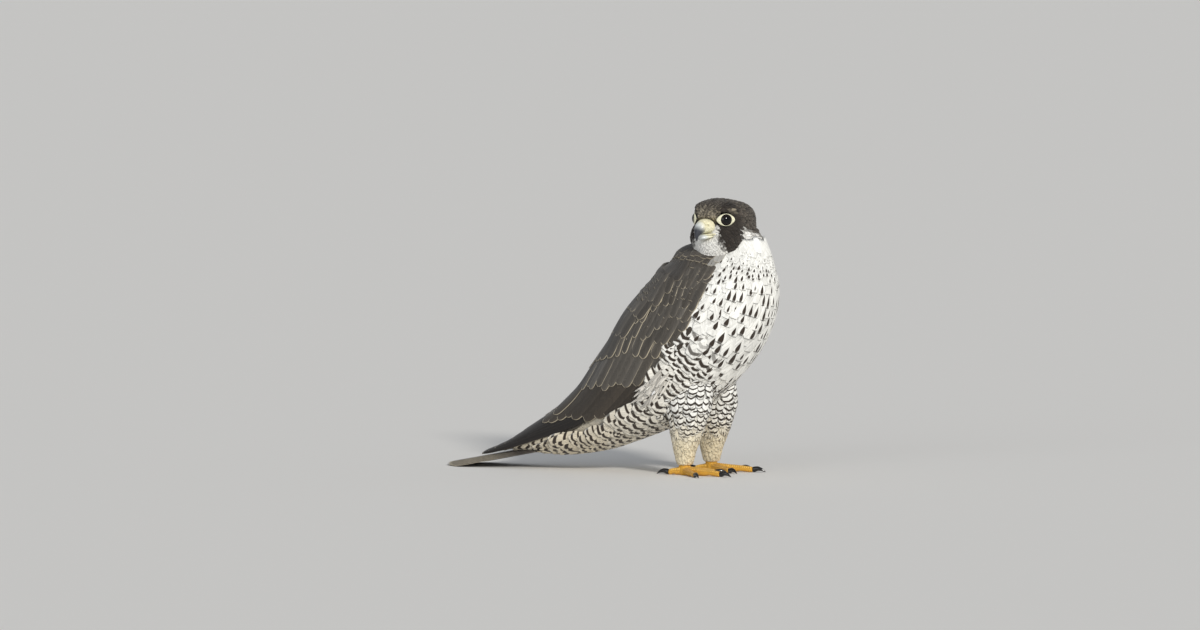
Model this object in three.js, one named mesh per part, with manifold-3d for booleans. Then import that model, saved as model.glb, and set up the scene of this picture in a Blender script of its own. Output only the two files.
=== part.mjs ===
// A life-size peregrine falcon standing on level ground, its head turned over its right wing.
// Millimetres. +X is where the breast faces, +Y is the bird's left and +Z is up.
// The origin lies on the ground, under the middle of the whole bird.
import * as THREE from 'three';
import { mergeVertices } from 'three/addons/utils/BufferGeometryUtils.js';
import Module from 'manifold-3d';

const wasm = await Module();
wasm.setup();

// Driving sizes
const GAP = 0.3; // between two parts that touch
const WING_THICK = 8; // folded wing over the flank
const MIDDLE_X = -127.5; // middle of the bird's length, from the body's own zero over the toes
const BOTTOM = -0.6; // how far a pad would sink before the ground flattens it

// Stations of the body from the neck to the wing tips: x and z of the middle line,
// then the depth to the back, the depth to the belly and the half width, wings included.
const BODY = [
  [5, 262, 31, 30, 24],
  [7, 248, 48, 41, 26],
  [5, 229, 60, 56, 36],
  [-1, 201, 68, 68, 59],
  [-21, 168, 70, 72, 66],
  [-54, 134, 69, 71, 66],
  [-86, 100, 61, 62, 61],
  [-126, 66, 51, 42, 52],
  [-163, 47, 38, 31, 43],
  [-202, 34, 26, 21, 35],
  [-246, 21, 14, 12, 26],
  [-296, 9, 5, 5, 15],
];
const NECK_SWING = 18; // how far the turn of the head carries the top of the neck to the left
const NECK_CUT = 42; // distance down the middle line where the neck ends
const RUMP_CUT = 283; // where the tail begins
const RUMP_END = 352; // where the fleshy root of the tail ends inside its feathers

const TAIL = { root: [-160, 33], tip: [-320, 1.6], half: 13, pairs: 6, fan: 5, step: 0.5 };

const HEAD = { at: [-2.6, 0.9, 276], turn: -105, nod: 0 };
const SKULL = {
  front: 29.5,
  back: 44,
  wide: 31,
  top: 27.8,
  bottom: 41,
  middle: [-4, 0, -3.5],
  square: 2.3,
};
const EYE = { at: [12.3, 17.8, 0.3], radius: 8, gaze: [0.52, 0.85, 0.03], slit: 6.4, lid: 1.3 };

const LEG = { x: [-30, -24], y: 28, foot: 14 }; // right and left, apart, and where the trousers end
const TOES = [
  { name: 'inner', turn: -38, length: 33, radius: 4.3 },
  { name: 'middle', turn: 2, length: 46, radius: 4.4 },
  { name: 'outer', turn: 40, length: 35, radius: 4.0 },
  { name: 'hind', turn: 172, length: 19, radius: 4.4 },
];
const CLAW = { length: 15, root: 2.8, drop: 0.3 };

const colour = {
  back: { color: 0x4a453f, roughness: 0.75 },
  breast: { color: 0xf1eee4, roughness: 0.85 },
  cap: { color: 0x3c3834, roughness: 0.8 },
  flight: { color: 0x35302c, roughness: 0.65 },
  tail: { color: 0x5d564c, roughness: 0.7 },
  horn: { color: 0xa9b4ba, roughness: 0.35 },
  cere: { color: 0xe9d27c, roughness: 0.5 },
  eye: { color: 0x0a0706, roughness: 0.08 },
  foot: { color: 0xe8b24a, roughness: 0.55 },
  claw: { color: 0x1c1a19, roughness: 0.3 },
};

const radians = THREE.MathUtils.degToRad;
const lerp = THREE.MathUtils.lerp;
const smooth = THREE.MathUtils.smoothstep;

// Solids

// A closed geometry as a solid, turned the right way out.
function solid(geometry) {
  const bare = new THREE.BufferGeometry();
  bare.setAttribute('position', geometry.getAttribute('position').clone());
  bare.setIndex(geometry.index);
  const merged = mergeVertices(bare, 1e-4);
  const triVerts = new Uint32Array(merged.index.array);
  const vertProperties = merged.attributes.position.array;
  const made = new wasm.Manifold(new wasm.Mesh({ numProp: 3, vertProperties, triVerts }));
  if (made.volume() > 0) return made;
  for (let i = 0; i < triVerts.length; i += 3) {
    [triVerts[i + 1], triVerts[i + 2]] = [triVerts[i + 2], triVerts[i + 1]];
  }
  return new wasm.Manifold(new wasm.Mesh({ numProp: 3, vertProperties, triVerts }));
}

const join = (solids) => solids.reduce((whole, piece) => whole.add(piece));

// The largest closed surface of a solid.
function whole(made) {
  const pieces = made.decompose();
  return pieces.reduce((best, piece) => (piece.volume() > best.volume() ? piece : best));
}

function meshOf(name, made, look) {
  const { vertProperties, triVerts } = whole(made).getMesh();
  const geometry = new THREE.BufferGeometry();
  geometry.setAttribute('position', new THREE.BufferAttribute(vertProperties, 3));
  geometry.setIndex(new THREE.BufferAttribute(triVerts, 1));
  geometry.computeVertexNormals();
  const mesh = new THREE.Mesh(geometry, new THREE.MeshStandardMaterial(look));
  mesh.name = name;
  return mesh;
}

// A smooth list of numbers along a list of rows, t from 0 to 1.
function track(rows) {
  const last = rows.length - 1;
  const spline = (a, b, c, d, s) => 0.5 * (2 * b + (c - a) * s
    + (2 * a - 5 * b + 4 * c - d) * s * s + (3 * b - a - 3 * c + d) * s ** 3);
  return (t) => {
    const place = THREE.MathUtils.clamp(t, 0, 1) * last;
    const i = Math.min(Math.floor(place), last - 1);
    const [b, c] = [rows[i], rows[i + 1]];
    const a = rows[i - 1] ?? b.map((v, k) => 2 * v - c[k]);
    const d = rows[i + 2] ?? c.map((v, k) => 2 * v - b[k]);
    return b.map((_, k) => spline(a[k], b[k], c[k], d[k], place - i));
  };
}

// A closed loft: point(t, angle) gives the surface, and its two ends are flat.
function loft(point, sides, rings, from = 0, to = 1) {
  const geometry = new THREE.CylinderGeometry(1, 1, 1, sides, rings);
  const places = geometry.getAttribute('position');
  const v = new THREE.Vector3();
  for (let i = 0; i < places.count; i += 1) {
    v.fromBufferAttribute(places, i);
    const t = lerp(from, to, v.y + 0.5);
    const angle = Math.atan2(v.x, v.z);
    const rim = point(t, angle);
    if (Math.hypot(v.x, v.z) < 0.5) {
      const far = point(t, angle + Math.PI);
      rim.add(far).multiplyScalar(0.5);
    }
    places.setXYZ(i, rim.x, rim.y, rim.z);
  }
  return solid(geometry);
}

// A loft through rows of x, y, z, half width and half height, upright across its own run.
function limb(rows, sides, rings, grow = 0) {
  const at = track(rows);
  return loft((t, angle) => {
    const [x, y, z, wide, high] = at(t);
    const [x0, y0, z0] = at(Math.max(t - 0.01, 0));
    const [x1, y1, z1] = at(Math.min(t + 0.01, 1));
    const along = new THREE.Vector3(x1 - x0, y1 - y0, z1 - z0).normalize();
    const level = Math.abs(along.z) > 0.8 ? new THREE.Vector3(-1, 0, 0) : new THREE.Vector3(0, 0, 1);
    const side = new THREE.Vector3().crossVectors(along, level).normalize();
    const up = new THREE.Vector3().crossVectors(side, along);
    return new THREE.Vector3(x, y, z)
      .addScaledVector(side, (wide + grow) * Math.sin(angle))
      .addScaledVector(up, (high + grow) * Math.cos(angle));
  }, sides, rings);
}

// A box cut into a grid, alike on its two broad faces: point(a, b, c) with a across from -1 to 1,
// b along from 0 to 1 and c through from 0 to 1.
function plate(point, across, along) {
  const places = [];
  const faces = [];
  for (const c of [0, 1]) {
    for (let j = 0; j <= along; j += 1) {
      for (let i = 0; i <= across; i += 1) {
        places.push(...point((2 * i) / across - 1, j / along, c).toArray());
      }
    }
  }
  const layer = (across + 1) * (along + 1);
  const id = (i, j, c) => c * layer + j * (across + 1) + i;
  const quad = (a, b, c, d) => faces.push(a, b, c, a, c, d);
  for (let j = 0; j < along; j += 1) {
    for (let i = 0; i < across; i += 1) {
      quad(id(i, j, 1), id(i + 1, j, 1), id(i + 1, j + 1, 1), id(i, j + 1, 1));
      faces.push(id(i, j, 0), id(i + 1, j + 1, 0), id(i + 1, j, 0));
      faces.push(id(i, j, 0), id(i, j + 1, 0), id(i + 1, j + 1, 0));
    }
    quad(id(0, j, 0), id(0, j, 1), id(0, j + 1, 1), id(0, j + 1, 0));
    quad(id(across, j, 0), id(across, j + 1, 0), id(across, j + 1, 1), id(across, j, 1));
  }
  for (let i = 0; i < across; i += 1) {
    quad(id(i, 0, 0), id(i + 1, 0, 0), id(i + 1, 0, 1), id(i, 0, 1));
    quad(id(i, along, 0), id(i, along, 1), id(i + 1, along, 1), id(i + 1, along, 0));
  }
  const geometry = new THREE.BufferGeometry();
  geometry.setAttribute('position', new THREE.Float32BufferAttribute(places, 3));
  geometry.setIndex(faces);
  return solid(geometry);
}

// The body's own surface

const stations = track(BODY);
const STEPS = 400;
const runs = [0];
for (let i = 1; i <= STEPS; i += 1) {
  const [x0, z0] = stations((i - 1) / STEPS);
  const [x1, z1] = stations(i / STEPS);
  runs.push(runs[i - 1] + Math.hypot(x1 - x0, z1 - z0));
}

// Share of the stations at a distance down the middle line.
function shareAt(distance) {
  const i = Math.max(runs.findIndex((run) => run > distance), 1);
  if (distance >= runs[STEPS]) return 1;
  return (i - 1 + (distance - runs[i - 1]) / (runs[i] - runs[i - 1])) / STEPS;
}

// The middle line at a distance: its place, the way out of the back, and the three depths.
function section(distance) {
  const t = shareAt(distance);
  const [x, z, back, belly, wide] = stations(t);
  const y = NECK_SWING * (1 - smooth(distance, 0, 1.3 * NECK_CUT));
  const [x0, z0] = stations(Math.max(t - 0.01, 0));
  const [x1, z1] = stations(Math.min(t + 0.01, 1));
  const run = new THREE.Vector3(x1 - x0, 0, z1 - z0).normalize();
  const out = new THREE.Vector3(run.z, 0, -run.x);
  return { at: new THREE.Vector3(x, y, z), out, back, belly, wide };
}

// A point of the hull that the folded wings and the body make together. The angle is counted
// from the middle of the back in radians, towards the right wing (side -1) or the left (1).
function hull(distance, angle, side, lift = 0) {
  const s = section(distance);
  const depth = Math.cos(angle) > 0 ? s.back : s.belly;
  const rim = new THREE.Vector3(0, side * s.wide * Math.sin(angle), 0)
    .addScaledVector(s.out, depth * Math.cos(angle));
  const outward = new THREE.Vector3(0, (side * Math.sin(angle)) / s.wide, 0)
    .addScaledVector(s.out, Math.cos(angle) / depth)
    .normalize();
  return s.at.clone().add(rim).addScaledVector(outward, lift);
}

// Millimetres of the hull's girth that go with a radian there.
function girth(distance, angle) {
  const s = section(distance);
  const depth = Math.cos(angle) > 0 ? s.back : s.belly;
  return Math.hypot(depth * Math.sin(angle), s.wide * Math.cos(angle));
}

// The upper edge of a folded wing, which opens to a V about the mantle, and its lower edge.
const upperEdge = (distance) => WING.top + WING.open * (1 - smooth(distance, WING.from, 125));
const lowerEdge = (distance) => WING.low - 14 * (1 - smooth(distance, WING.from, 130));

// How deep the bed is that a wing lies in. It shelves towards the edges of the wing.
function bed(distance, angle) {
  const turn = (Math.abs(angle) * 180) / Math.PI;
  const inner = smooth(turn, upperEdge(distance) - 12, upperEdge(distance) + 14);
  const outer = 1 - smooth(turn, lowerEdge(distance) - 12, lowerEdge(distance) + 14);
  const front = smooth(distance, WING.from - 16, WING.from + 24);
  const rear = 1 + 0.6 * smooth(distance, RUMP_CUT - 20, RUMP_END);
  return WING_THICK * inner * outer * front * rear;
}

// Neck, torso and rump as one loft, with the beds of the wings sunk in it.
function trunk(grow, from, to) {
  const rings = Math.round((to - from) / 16);
  return loft((t, angle) => {
    const distance = lerp(from, to, t);
    return hull(distance, Math.abs(angle), Math.sign(angle) || 1, grow - bed(distance, angle));
  }, 26, rings);
}

// Feathers

// Rings of a vane stand closer together towards its tip.
const towardsTip = (share) => 1 - (1 - share) ** 1.8;

// How wide a vane is along its length: full to the shoulder, then a round or drawn-out tip.
function outline(b, shoulder, tip) {
  const root = 0.62 + 0.38 * Math.min(b / 0.3, 1);
  const end = Math.max((b - shoulder) / (1 - shoulder), 0);
  return root * lerp(tip, 1, Math.sqrt(Math.max(1 - end * end, 0)));
}

// A vane over the hull, from its root to its tip. Its root lies sunk and its tip stands at its
// level. Down to the distance `core` its lower face lies sunk in the flesh beneath it.
function vane(side, shape, grow = 0) {
  const { root, tip, half, level, tilt = 0.35, thick = 0.9 } = shape;
  const { shoulder = 0.7, end = 0.3, rings = 3, core = WING.to, floor = WING.floor } = shape;
  return plate((a, share, c) => {
    const b = towardsTip(share);
    const reach = grow * (2 * b - 1);
    const distance = lerp(root[0], tip[0], b) + reach;
    const middle = radians(lerp(root[1], tip[1], b));
    const width = half * outline(b, shoulder, end) + grow;
    const angle = middle + (a * width) / girth(distance, middle);
    const bottom = Math.max(floor, WING.clear - bed(distance, angle));
    const top = Math.max(level - tilt * a - 1.6 * (1 - smooth(b, 0, 0.25)), bottom + thick);
    const under = lerp(bottom, top - thick, smooth(distance, core - 30, core));
    return hull(distance, angle, side, c === 1 ? top + grow : under - grow);
  }, 2, rings);
}

// A row of vanes between its low end, by the belly, and its high end, by the back.
function row(side, grow, { count, low, high, ...shape }) {
  return Array.from({ length: count }, (_, i) => {
    const share = count > 1 ? i / (count - 1) : 0;
    const between = (key) => [0, 1].map((k) => lerp(low[key][k], high[key][k], share));
    const wander = 1.5 * Math.sin(i * 2.4 + shape.level * 5);
    const tip = between('tip');
    tip[0] += wander;
    return vane(side, { ...shape, root: between('root'), tip }, grow);
  });
}

// The folded wing in tiers, each place a distance down the body and an angle from its back.
const WING_ROWS = {
  primaries: {
    count: 5, half: 8.5, level: -2.9, tilt: 0.5, shoulder: 0.45, end: 0.18, rings: 4,
    low: { root: [205, 90], tip: [409, 66] },
    high: { root: [215, 46], tip: [345, 26] },
  },
  secondaries: {
    count: 6, half: 9, level: -1.9, tilt: 0.5, shoulder: 0.75, end: 0.34,
    low: { root: [150, 102], tip: [236, 105] },
    high: { root: [205, 42], tip: [326, 40] },
  },
  tertials: {
    count: 2, half: 11, level: -1.1, tilt: 0.5, shoulder: 0.7, end: 0.3,
    low: { root: [190, 36], tip: [318, 34] },
    high: { root: [190, 15], tip: [288, 16] },
  },
  greaterCoverts: {
    count: 6, half: 9.5, level: -1, tilt: 0.45,
    low: { root: [118, 98], tip: [186, 102] },
    high: { root: [170, 38], tip: [258, 40] },
  },
  primaryCoverts: {
    count: 2, half: 6, level: -1.5, tilt: 0.4, rings: 2,
    low: { root: [118, 104], tip: [174, 110] },
    high: { root: [118, 97], tip: [186, 104] },
  },
  medianCoverts: {
    count: 5, half: 10.5, level: -0.1, tilt: 0.4, rings: 2,
    low: { root: [92, 93], tip: [142, 98] },
    high: { root: [142, 38], tip: [205, 40] },
  },
  alula: {
    count: 2, half: 6, level: -0.5, tilt: 0.4, rings: 2,
    low: { root: [84, 100], tip: [138, 108] },
    high: { root: [84, 94], tip: [126, 101] },
  },
  longScapulars: {
    count: 3, half: 13, level: 0.5, tilt: 0.45,
    low: { root: [118, 44], tip: [192, 43] },
    high: { root: [130, 19], tip: [228, 17] },
  },
  lesserCoverts: {
    count: 3, half: 11, level: -0.2, tilt: 0.4, rings: 2,
    low: { root: [52, 89], tip: [98, 92] },
    high: { root: [54, 58], tip: [108, 60] },
  },
  shortScapulars: {
    count: 3, half: 12, level: 1.1, tilt: 0.45, rings: 2,
    low: { root: [54, 60], tip: [122, 59] },
    high: { root: [84, 30], tip: [150, 24] },
  },
};
const WING = {
  from: 46,
  to: 262,
  top: 4,
  open: 26,
  low: 108,
  apart: 0.4,
  core: -3.6,
  floor: -5.2,
  clear: 1.2,
};

// The fleshy folded wing under its feathers, a shell that fills its bed.
function wingCore(side, grow) {
  return plate((a, b, c) => {
    const distance = lerp(WING.from, WING.to, b);
    const turn = radians(lerp(upperEdge(distance), lowerEdge(distance), (a + 1) / 2));
    const bottom = WING.clear - bed(distance, turn);
    const rim = Math.max(Math.abs(a), Math.abs(2 * b - 1)) ** 6;
    const lift = c === 1 ? Math.max(WING.core - 2.4 * rim, bottom + 0.9) + grow : bottom - grow;
    return hull(distance, turn, side, lift);
  }, 6, 9);
}

function wing(side, grow = 0) {
  const vanes = Object.values(WING_ROWS).flatMap((shape) => row(side, grow, shape));
  const half = new THREE.BoxGeometry(600, 200, 600).translate(0, side * (100 + WING.apart - grow), 0);
  return join([wingCore(side, grow), ...vanes]).intersect(solid(half));
}

// A tail feather in the plane of the tail, under the ones nearer the middle. Each feather of the
// left half lies just under its fellow of the right half.
function rectrix(side, index) {
  const [x0, z0] = TAIL.root;
  const [x1, z1] = TAIL.tip;
  const length = Math.hypot(x1 - x0, z1 - z0) - 0.5 * index * index;
  const fall = Math.atan2(z1 - z0, x1 - x0);
  const fan = radians(side * (1 + (TAIL.fan * index) / (TAIL.pairs - 1)));
  const run = new THREE.Vector3(Math.cos(fall), 0, Math.sin(fall));
  const up = new THREE.Vector3(run.z, 0, -run.x);
  return plate((a, share, c) => {
    const b = towardsTip(share);
    const along = length * b;
    const width = TAIL.half * outline(b, 0.8, 0.5) * (0.8 + 0.2 * b);
    const y = Math.sin(fan) * along + side * (2.5 + index * 1.1) + a * width;
    const step = TAIL.step * lerp(1, 0.5, b);
    const level = 2 - y ** 2 / 320 - step * (2 * index + (side + 1) / 2);
    const lift = c === 1 ? level : level - 2 * step - 0.3;
    return new THREE.Vector3(x0, y, z0)
      .addScaledVector(run, along * Math.cos(fan))
      .addScaledVector(up, lift);
  }, 2, 2);
}

const UNDERTAIL = {
  count: 3, half: 10.5, level: 0, tilt: 0.3, end: 0.35, rings: 2, core: 330, floor: -6,
  low: { root: [292, 172], tip: [354, 168] },
  high: { root: [288, 118], tip: [330, 114] },
};
const VENT = {
  count: 2, half: 12, level: 0.5, tilt: 0.3, end: 0.35, rings: 2, core: 330, floor: -6,
  low: { root: [287, 165], tip: [322, 164] },
  high: { root: [286, 125], tip: [308, 122] },
};

// Head, in its own frame: +X out of the bill, the eyes level with its origin.

const gaze = (side) => new THREE.Vector3(EYE.gaze[0], side * EYE.gaze[1], EYE.gaze[2]).normalize();
const eyeAt = (side) => new THREE.Vector3(EYE.at[0], side * EYE.at[1], EYE.at[2]);

// Swellings and hollows of the feathered head: place, reach and how far out.
const RELIEF = [
  { at: [16, 21, 14], reach: 9, out: 4.6 }, // brow
  { at: [14, 25, 0], reach: 8.5, out: -4.8 }, // round the eye
  { at: [25, 12, -4], reach: 6, out: -2.6 }, // lore
  { at: [22, 13, -15], reach: 6, out: -3 }, // corner of the mouth
  { at: [15, 28, -25], reach: 15, out: 7.5 }, // cheek
  { at: [24, 0, 17], reach: 11, out: 2 }, // forehead
  { at: [-22, 0, 22], reach: 18, out: -3 }, // back of the crown
  { at: [14, 0, -38], reach: 15, out: 9 }, // throat
];

function skullPoint(direction, grow = 0) {
  const { front, back, wide, top, bottom, middle, square } = SKULL;
  const size = new THREE.Vector3(
    direction.x > 0 ? front : back,
    wide,
    direction.z > 0 ? top : bottom,
  );
  const { x, y, z } = direction;
  const norm = (Math.abs(x) ** square + Math.abs(y) ** square + Math.abs(z) ** square) ** (1 / square);
  const point = direction.clone().multiply(size).divideScalar(norm);
  const outward = direction.clone().divide(size).normalize();
  point.add(new THREE.Vector3(...middle));
  const lift = RELIEF.reduce((sum, { at, reach, out }) => {
    const away = point.distanceTo(new THREE.Vector3(at[0], at[1] * Math.sign(point.y || 1), at[2]));
    return sum + out * Math.exp(-((away / reach) ** 2));
  }, grow);
  return point.addScaledVector(outward, lift);
}

function skull(grow = 0, sides = 26, rings = 16) {
  const geometry = new THREE.SphereGeometry(1, sides, rings).rotateZ(-Math.PI / 2);
  const places = geometry.getAttribute('position');
  const direction = new THREE.Vector3();
  for (let i = 0; i < places.count; i += 1) {
    const { x, y, z } = skullPoint(direction.fromBufferAttribute(places, i).normalize(), grow);
    places.setXYZ(i, x, y, z);
  }
  return solid(geometry);
}

const eyeball = (side, grow = 0) => solid(
  new THREE.SphereGeometry(EYE.radius + grow, 16, 10).translate(...eyeAt(side).toArray()),
);

// The bare ring of lid round an eye, an almond drawn out towards its back corner.
function lid(side) {
  const ring = new THREE.TorusGeometry(EYE.slit, EYE.lid, 5, 16);
  const places = ring.getAttribute('position');
  for (let i = 0; i < places.count; i += 1) {
    const [x, y, z] = [places.getX(i), places.getY(i), places.getZ(i)];
    const corner = (Math.abs(x) / EYE.slit) ** 3;
    places.setXYZ(i, x * (1.1 + 0.22 * corner), y * (1 - 0.25 * corner), z * 0.9 - 1.2 * corner);
  }
  const reach = Math.sqrt(EYE.radius ** 2 - EYE.slit ** 2) + 0.3;
  const up = new THREE.Vector3(0.05, 0, 1);
  ring.applyMatrix4(new THREE.Matrix4().lookAt(gaze(side), new THREE.Vector3(), up));
  return solid(ring.translate(...eyeAt(side).addScaledVector(gaze(side), reach).toArray()));
}

// Rows of the bill: x and z of its upper edge, x and z of its lower edge, half width.
const CERE_ROWS = [
  [20, 1.1, 20, -14.1, 10.8],
  [24.5, 1.4, 24.5, -14.2, 9.8],
  [28.3, 0.9, 28.5, -14.4, 8.7],
  [31, -0.2, 30.8, -14.5, 7.7],
];
const HORN_ROWS = [
  [31.4, -0.5, 31.1, -14.6, 7.4],
  [35, -2.2, 33.8, -15.1, 6.2],
  [37.7, -5.6, 35.2, -16.7, 4.9],
  [39.4, -10, 36.1, -16.7, 3.8],
  [40, -14.5, 36.8, -17.6, 2.8],
  [39.6, -18.8, 37.2, -19.9, 1.8],
  [38.2, -22.6, 37.6, -22.7, 0.5],
];
const LOWER_ROWS = [
  [20, -14.8, 20, -19, 10.6],
  [25, -14.8, 25, -20.6, 9],
  [30, -15.2, 30.4, -21.4, 6.9],
  [34.4, -17.4, 34.2, -20.6, 3.9],
];

// A loft whose rows name the upper and lower edge of each of its sections.
function beak(rows, sides, rings, grow = 0) {
  const at = track(rows);
  return loft((t, angle) => {
    const [x0, z0, x1, z1, wide] = at(t);
    const across = new THREE.Vector3((x0 - x1) / 2, 0, (z0 - z1) / 2);
    const long = across.length();
    return new THREE.Vector3((x0 + x1) / 2, (wide + grow) * Math.sin(angle), (z0 + z1) / 2)
      .addScaledVector(across, ((long + grow) / long) * Math.cos(angle));
  }, sides, rings);
}

// A round nostril, sunk in the side of the cere.
function nostril(side) {
  const hole = new THREE.CylinderGeometry(1.5, 1.3, 5, 8).rotateX(Math.PI / 2);
  return solid(hole.translate(28.8, side * 7.6, -4.9));
}

// The yellow edge of the mouth where the two halves of the bill meet the face.
function gape(side) {
  return limb([
    [18.5, side * 12, -15, 1.3, 1.2],
    [21.5, side * 11.4, -14.6, 1.3, 1.2],
    [26.5, side * 10, -14.5, 0.8, 0.7],
  ], 7, 3);
}

// Legs and feet

// A feathered leg: from inside the flank down to the foot.
function trousers(x, y, grow = 0) {
  return limb([
    [x, 0.5 * y, 124, 9, 14],
    [x + 5, 0.9 * y, 100, 18, 26],
    [x + 5, y, 73, 19, 27],
    [x + 2, y, 47, 15.5, 21],
    [x, y, 27, 12.5, 15.5],
    [x, y, LEG.foot, 10.5, 12.5],
  ], 14, 7, grow);
}

// A toe from the ball of the foot to its claw, with swollen pads that rest on the ground.
function toe({ length, radius }) {
  const rows = Array.from({ length: 9 }, (_, i) => {
    const share = i / 8;
    const pad = 0.5 + 0.5 * Math.cos(share * 4 * Math.PI);
    const size = radius * lerp(1.15, 0.72, share) * lerp(0.9, 1.06, pad);
    const lowest = lerp(0.9, BOTTOM, pad);
    return [(length - 1.5) * share, 0, size + lowest, size, size];
  });
  rows.push([length, ...rows.at(-1).slice(1)]);
  return limb(rows, 6, 8);
}

function claw({ length, radius }) {
  const size = CLAW.root * (radius / 4.4);
  const z = size + 0.1;
  const from = length + GAP;
  return limb([
    [from, 0, z, size * 0.8, size],
    [from + 1.5, 0, z, size * 0.8, size],
    [from + 5, 0, z + 1.2, size * 0.7, size * 0.82],
    [from + 9.5, 0, z + 0.3, size * 0.5, size * 0.58],
    [from + CLAW.length - 1.5, 0, CLAW.drop + 0.6, 0.35, 0.4],
  ], 6, 5);
}

// The foot about its own ball: the end of the shank, the ball and four toes, flat on the ground.
function foot(side) {
  const shank = limb([
    [-1, 0, LEG.foot - GAP, 5.2, 6],
    [0, 0, 7, 5.8, 6.6],
    [1, 0, -1, 5.4, 6],
  ], 10, 2);
  const toes = TOES.map((one) => solid(geometryOf(toe(one)).rotateZ(radians(side * one.turn))));
  const high = LEG.foot - GAP;
  const above = solid(new THREE.BoxGeometry(200, 200, high).translate(0, 0, high / 2));
  return join([shank, ...toes]).intersect(above);
}

function geometryOf(made) {
  const { vertProperties, triVerts } = made.getMesh();
  const geometry = new THREE.BufferGeometry();
  geometry.setAttribute('position', new THREE.BufferAttribute(vertProperties, 3));
  return geometry.setIndex(new THREE.BufferAttribute(triVerts, 1));
}

// Assembly

const falcon = new THREE.Group();
falcon.position.x = -MIDDLE_X;

const head = new THREE.Group();
head.position.set(...HEAD.at);
head.rotation.set(0, radians(HEAD.nod), radians(HEAD.turn), 'ZYX');
head.updateMatrix();
falcon.add(head);

const sides = { right: -1, left: 1 };
const both = Object.entries(sides);
const eyes = join(both.map(([, side]) => eyeball(side, GAP)));
const cere = (grow = 0) => beak(CERE_ROWS, 14, 3, grow);
const upperBill = (grow = 0) => beak(HORN_ROWS, 14, 9, grow);
const lowerBill = (grow = 0) => beak(LOWER_ROWS, 12, 4, grow);
const billRoom = join([cere(GAP), upperBill(GAP), lowerBill(GAP)]);
const lids = both.flatMap(([, side]) => [lid(side), gape(side)]);
const nostrils = join(both.map(([, side]) => nostril(side)));
head.add(meshOf('head', join([skull(), ...lids]).subtract(eyes).subtract(billRoom), colour.cap));
head.add(meshOf('cere', cere().subtract(nostrils).subtract(lowerBill(GAP)), colour.cere));
head.add(meshOf('bill_upper', upperBill(), colour.horn));
head.add(meshOf('bill_lower', lowerBill().subtract(upperBill(GAP)), colour.horn));
for (const [name, side] of both) {
  head.add(meshOf(`eye_${name}`, eyeball(side), colour.eye));
}

const headRoom = solid(geometryOf(skull(GAP)).applyMatrix4(head.matrix));
const wings = both.map(([, side]) => wing(side));
const wingRoom = join(both.map(([, side]) => wing(side, GAP)));
const legRoom = join(both.map(([, side], i) => trousers(LEG.x[i], side * LEG.y, GAP)));

const neck = (grow = 0) => trunk(grow, 0, NECK_CUT);
const torso = (grow = 0) => trunk(grow, NECK_CUT + GAP, RUMP_CUT);
falcon.add(meshOf('neck', neck().subtract(headRoom), colour.breast));
falcon.add(meshOf('torso', torso(), colour.breast));
const body = join([neck(GAP), torso(GAP)]);
both.forEach(([name, side], i) => {
  falcon.add(meshOf(`wing_${name}`, wings[i].subtract(body).subtract(legRoom), colour.flight));
  const leg = trousers(LEG.x[i], side * LEG.y);
  falcon.add(meshOf(`leg_${name}`, leg.subtract(body), colour.breast));
});

const ground = solid(new THREE.BoxGeometry(800, 300, 200).translate(-150, 0, 100));
const pairs = Array.from({ length: TAIL.pairs }, (_, i) => i);
const rectrices = pairs.flatMap((i) => both.map(([, side]) => rectrix(side, i)));
const coverts = both.flatMap(([, side]) => [UNDERTAIL, VENT].flatMap((shape) => row(side, 0, shape)));
const rump = trunk(0, RUMP_CUT + GAP, RUMP_END);
const tail = join([rump, ...rectrices, ...coverts]).subtract(body).subtract(wingRoom).intersect(ground);
falcon.add(meshOf('tail', tail, colour.tail));

both.forEach(([name, side], i) => {
  const group = new THREE.Group();
  group.position.set(LEG.x[i], side * LEG.y, 0);
  group.rotation.z = radians(side * 8);
  group.add(meshOf(`foot_${name}`, foot(side), colour.foot));
  for (const one of TOES) {
    const piece = meshOf(`claw_${name}_${one.name}`, claw(one), colour.claw);
    piece.rotation.z = radians(side * one.turn);
    group.add(piece);
  }
  falcon.add(group);
});

export default falcon;
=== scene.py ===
"""Looks of a life-size peregrine falcon that stands with folded wings, its head over one wing.

Sizes are millimetres in the part's own frame unless they say otherwise, and meshes are written in
metres. A place on the body is a distance down its middle line and a turn round it, counted from
the middle of the back, with the bird's left as plus.
"""
import sys
import logging
import math
from collections.abc import Callable, Sequence
from dataclasses import dataclass
from enum import Enum
from functools import partial

import bmesh
import bpy
import numpy as np
from mathutils import Matrix, Vector
from mathutils.bvhtree import BVHTree
from mathutils.kdtree import KDTree


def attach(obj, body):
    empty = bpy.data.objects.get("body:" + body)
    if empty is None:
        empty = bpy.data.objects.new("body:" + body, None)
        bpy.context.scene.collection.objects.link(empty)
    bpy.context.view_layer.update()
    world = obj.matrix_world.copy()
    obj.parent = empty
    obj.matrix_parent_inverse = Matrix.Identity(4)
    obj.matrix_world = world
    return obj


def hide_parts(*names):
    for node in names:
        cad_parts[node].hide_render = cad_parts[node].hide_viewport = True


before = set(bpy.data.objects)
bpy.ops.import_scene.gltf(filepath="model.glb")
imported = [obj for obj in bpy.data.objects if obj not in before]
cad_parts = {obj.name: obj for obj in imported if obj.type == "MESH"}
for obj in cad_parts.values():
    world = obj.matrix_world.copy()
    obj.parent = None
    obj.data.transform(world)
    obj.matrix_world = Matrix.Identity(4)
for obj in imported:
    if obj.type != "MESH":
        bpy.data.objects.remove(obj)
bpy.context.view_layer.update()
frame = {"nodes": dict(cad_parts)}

LOG = logging.getLogger("falcon")
MM = 0.001
FEATHER_UV = "Feather"
BAKE_UV = "OFBake"
BAKE_PATCH = 0.003
Array = np.ndarray
Curve = Callable[[float], float]
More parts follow.
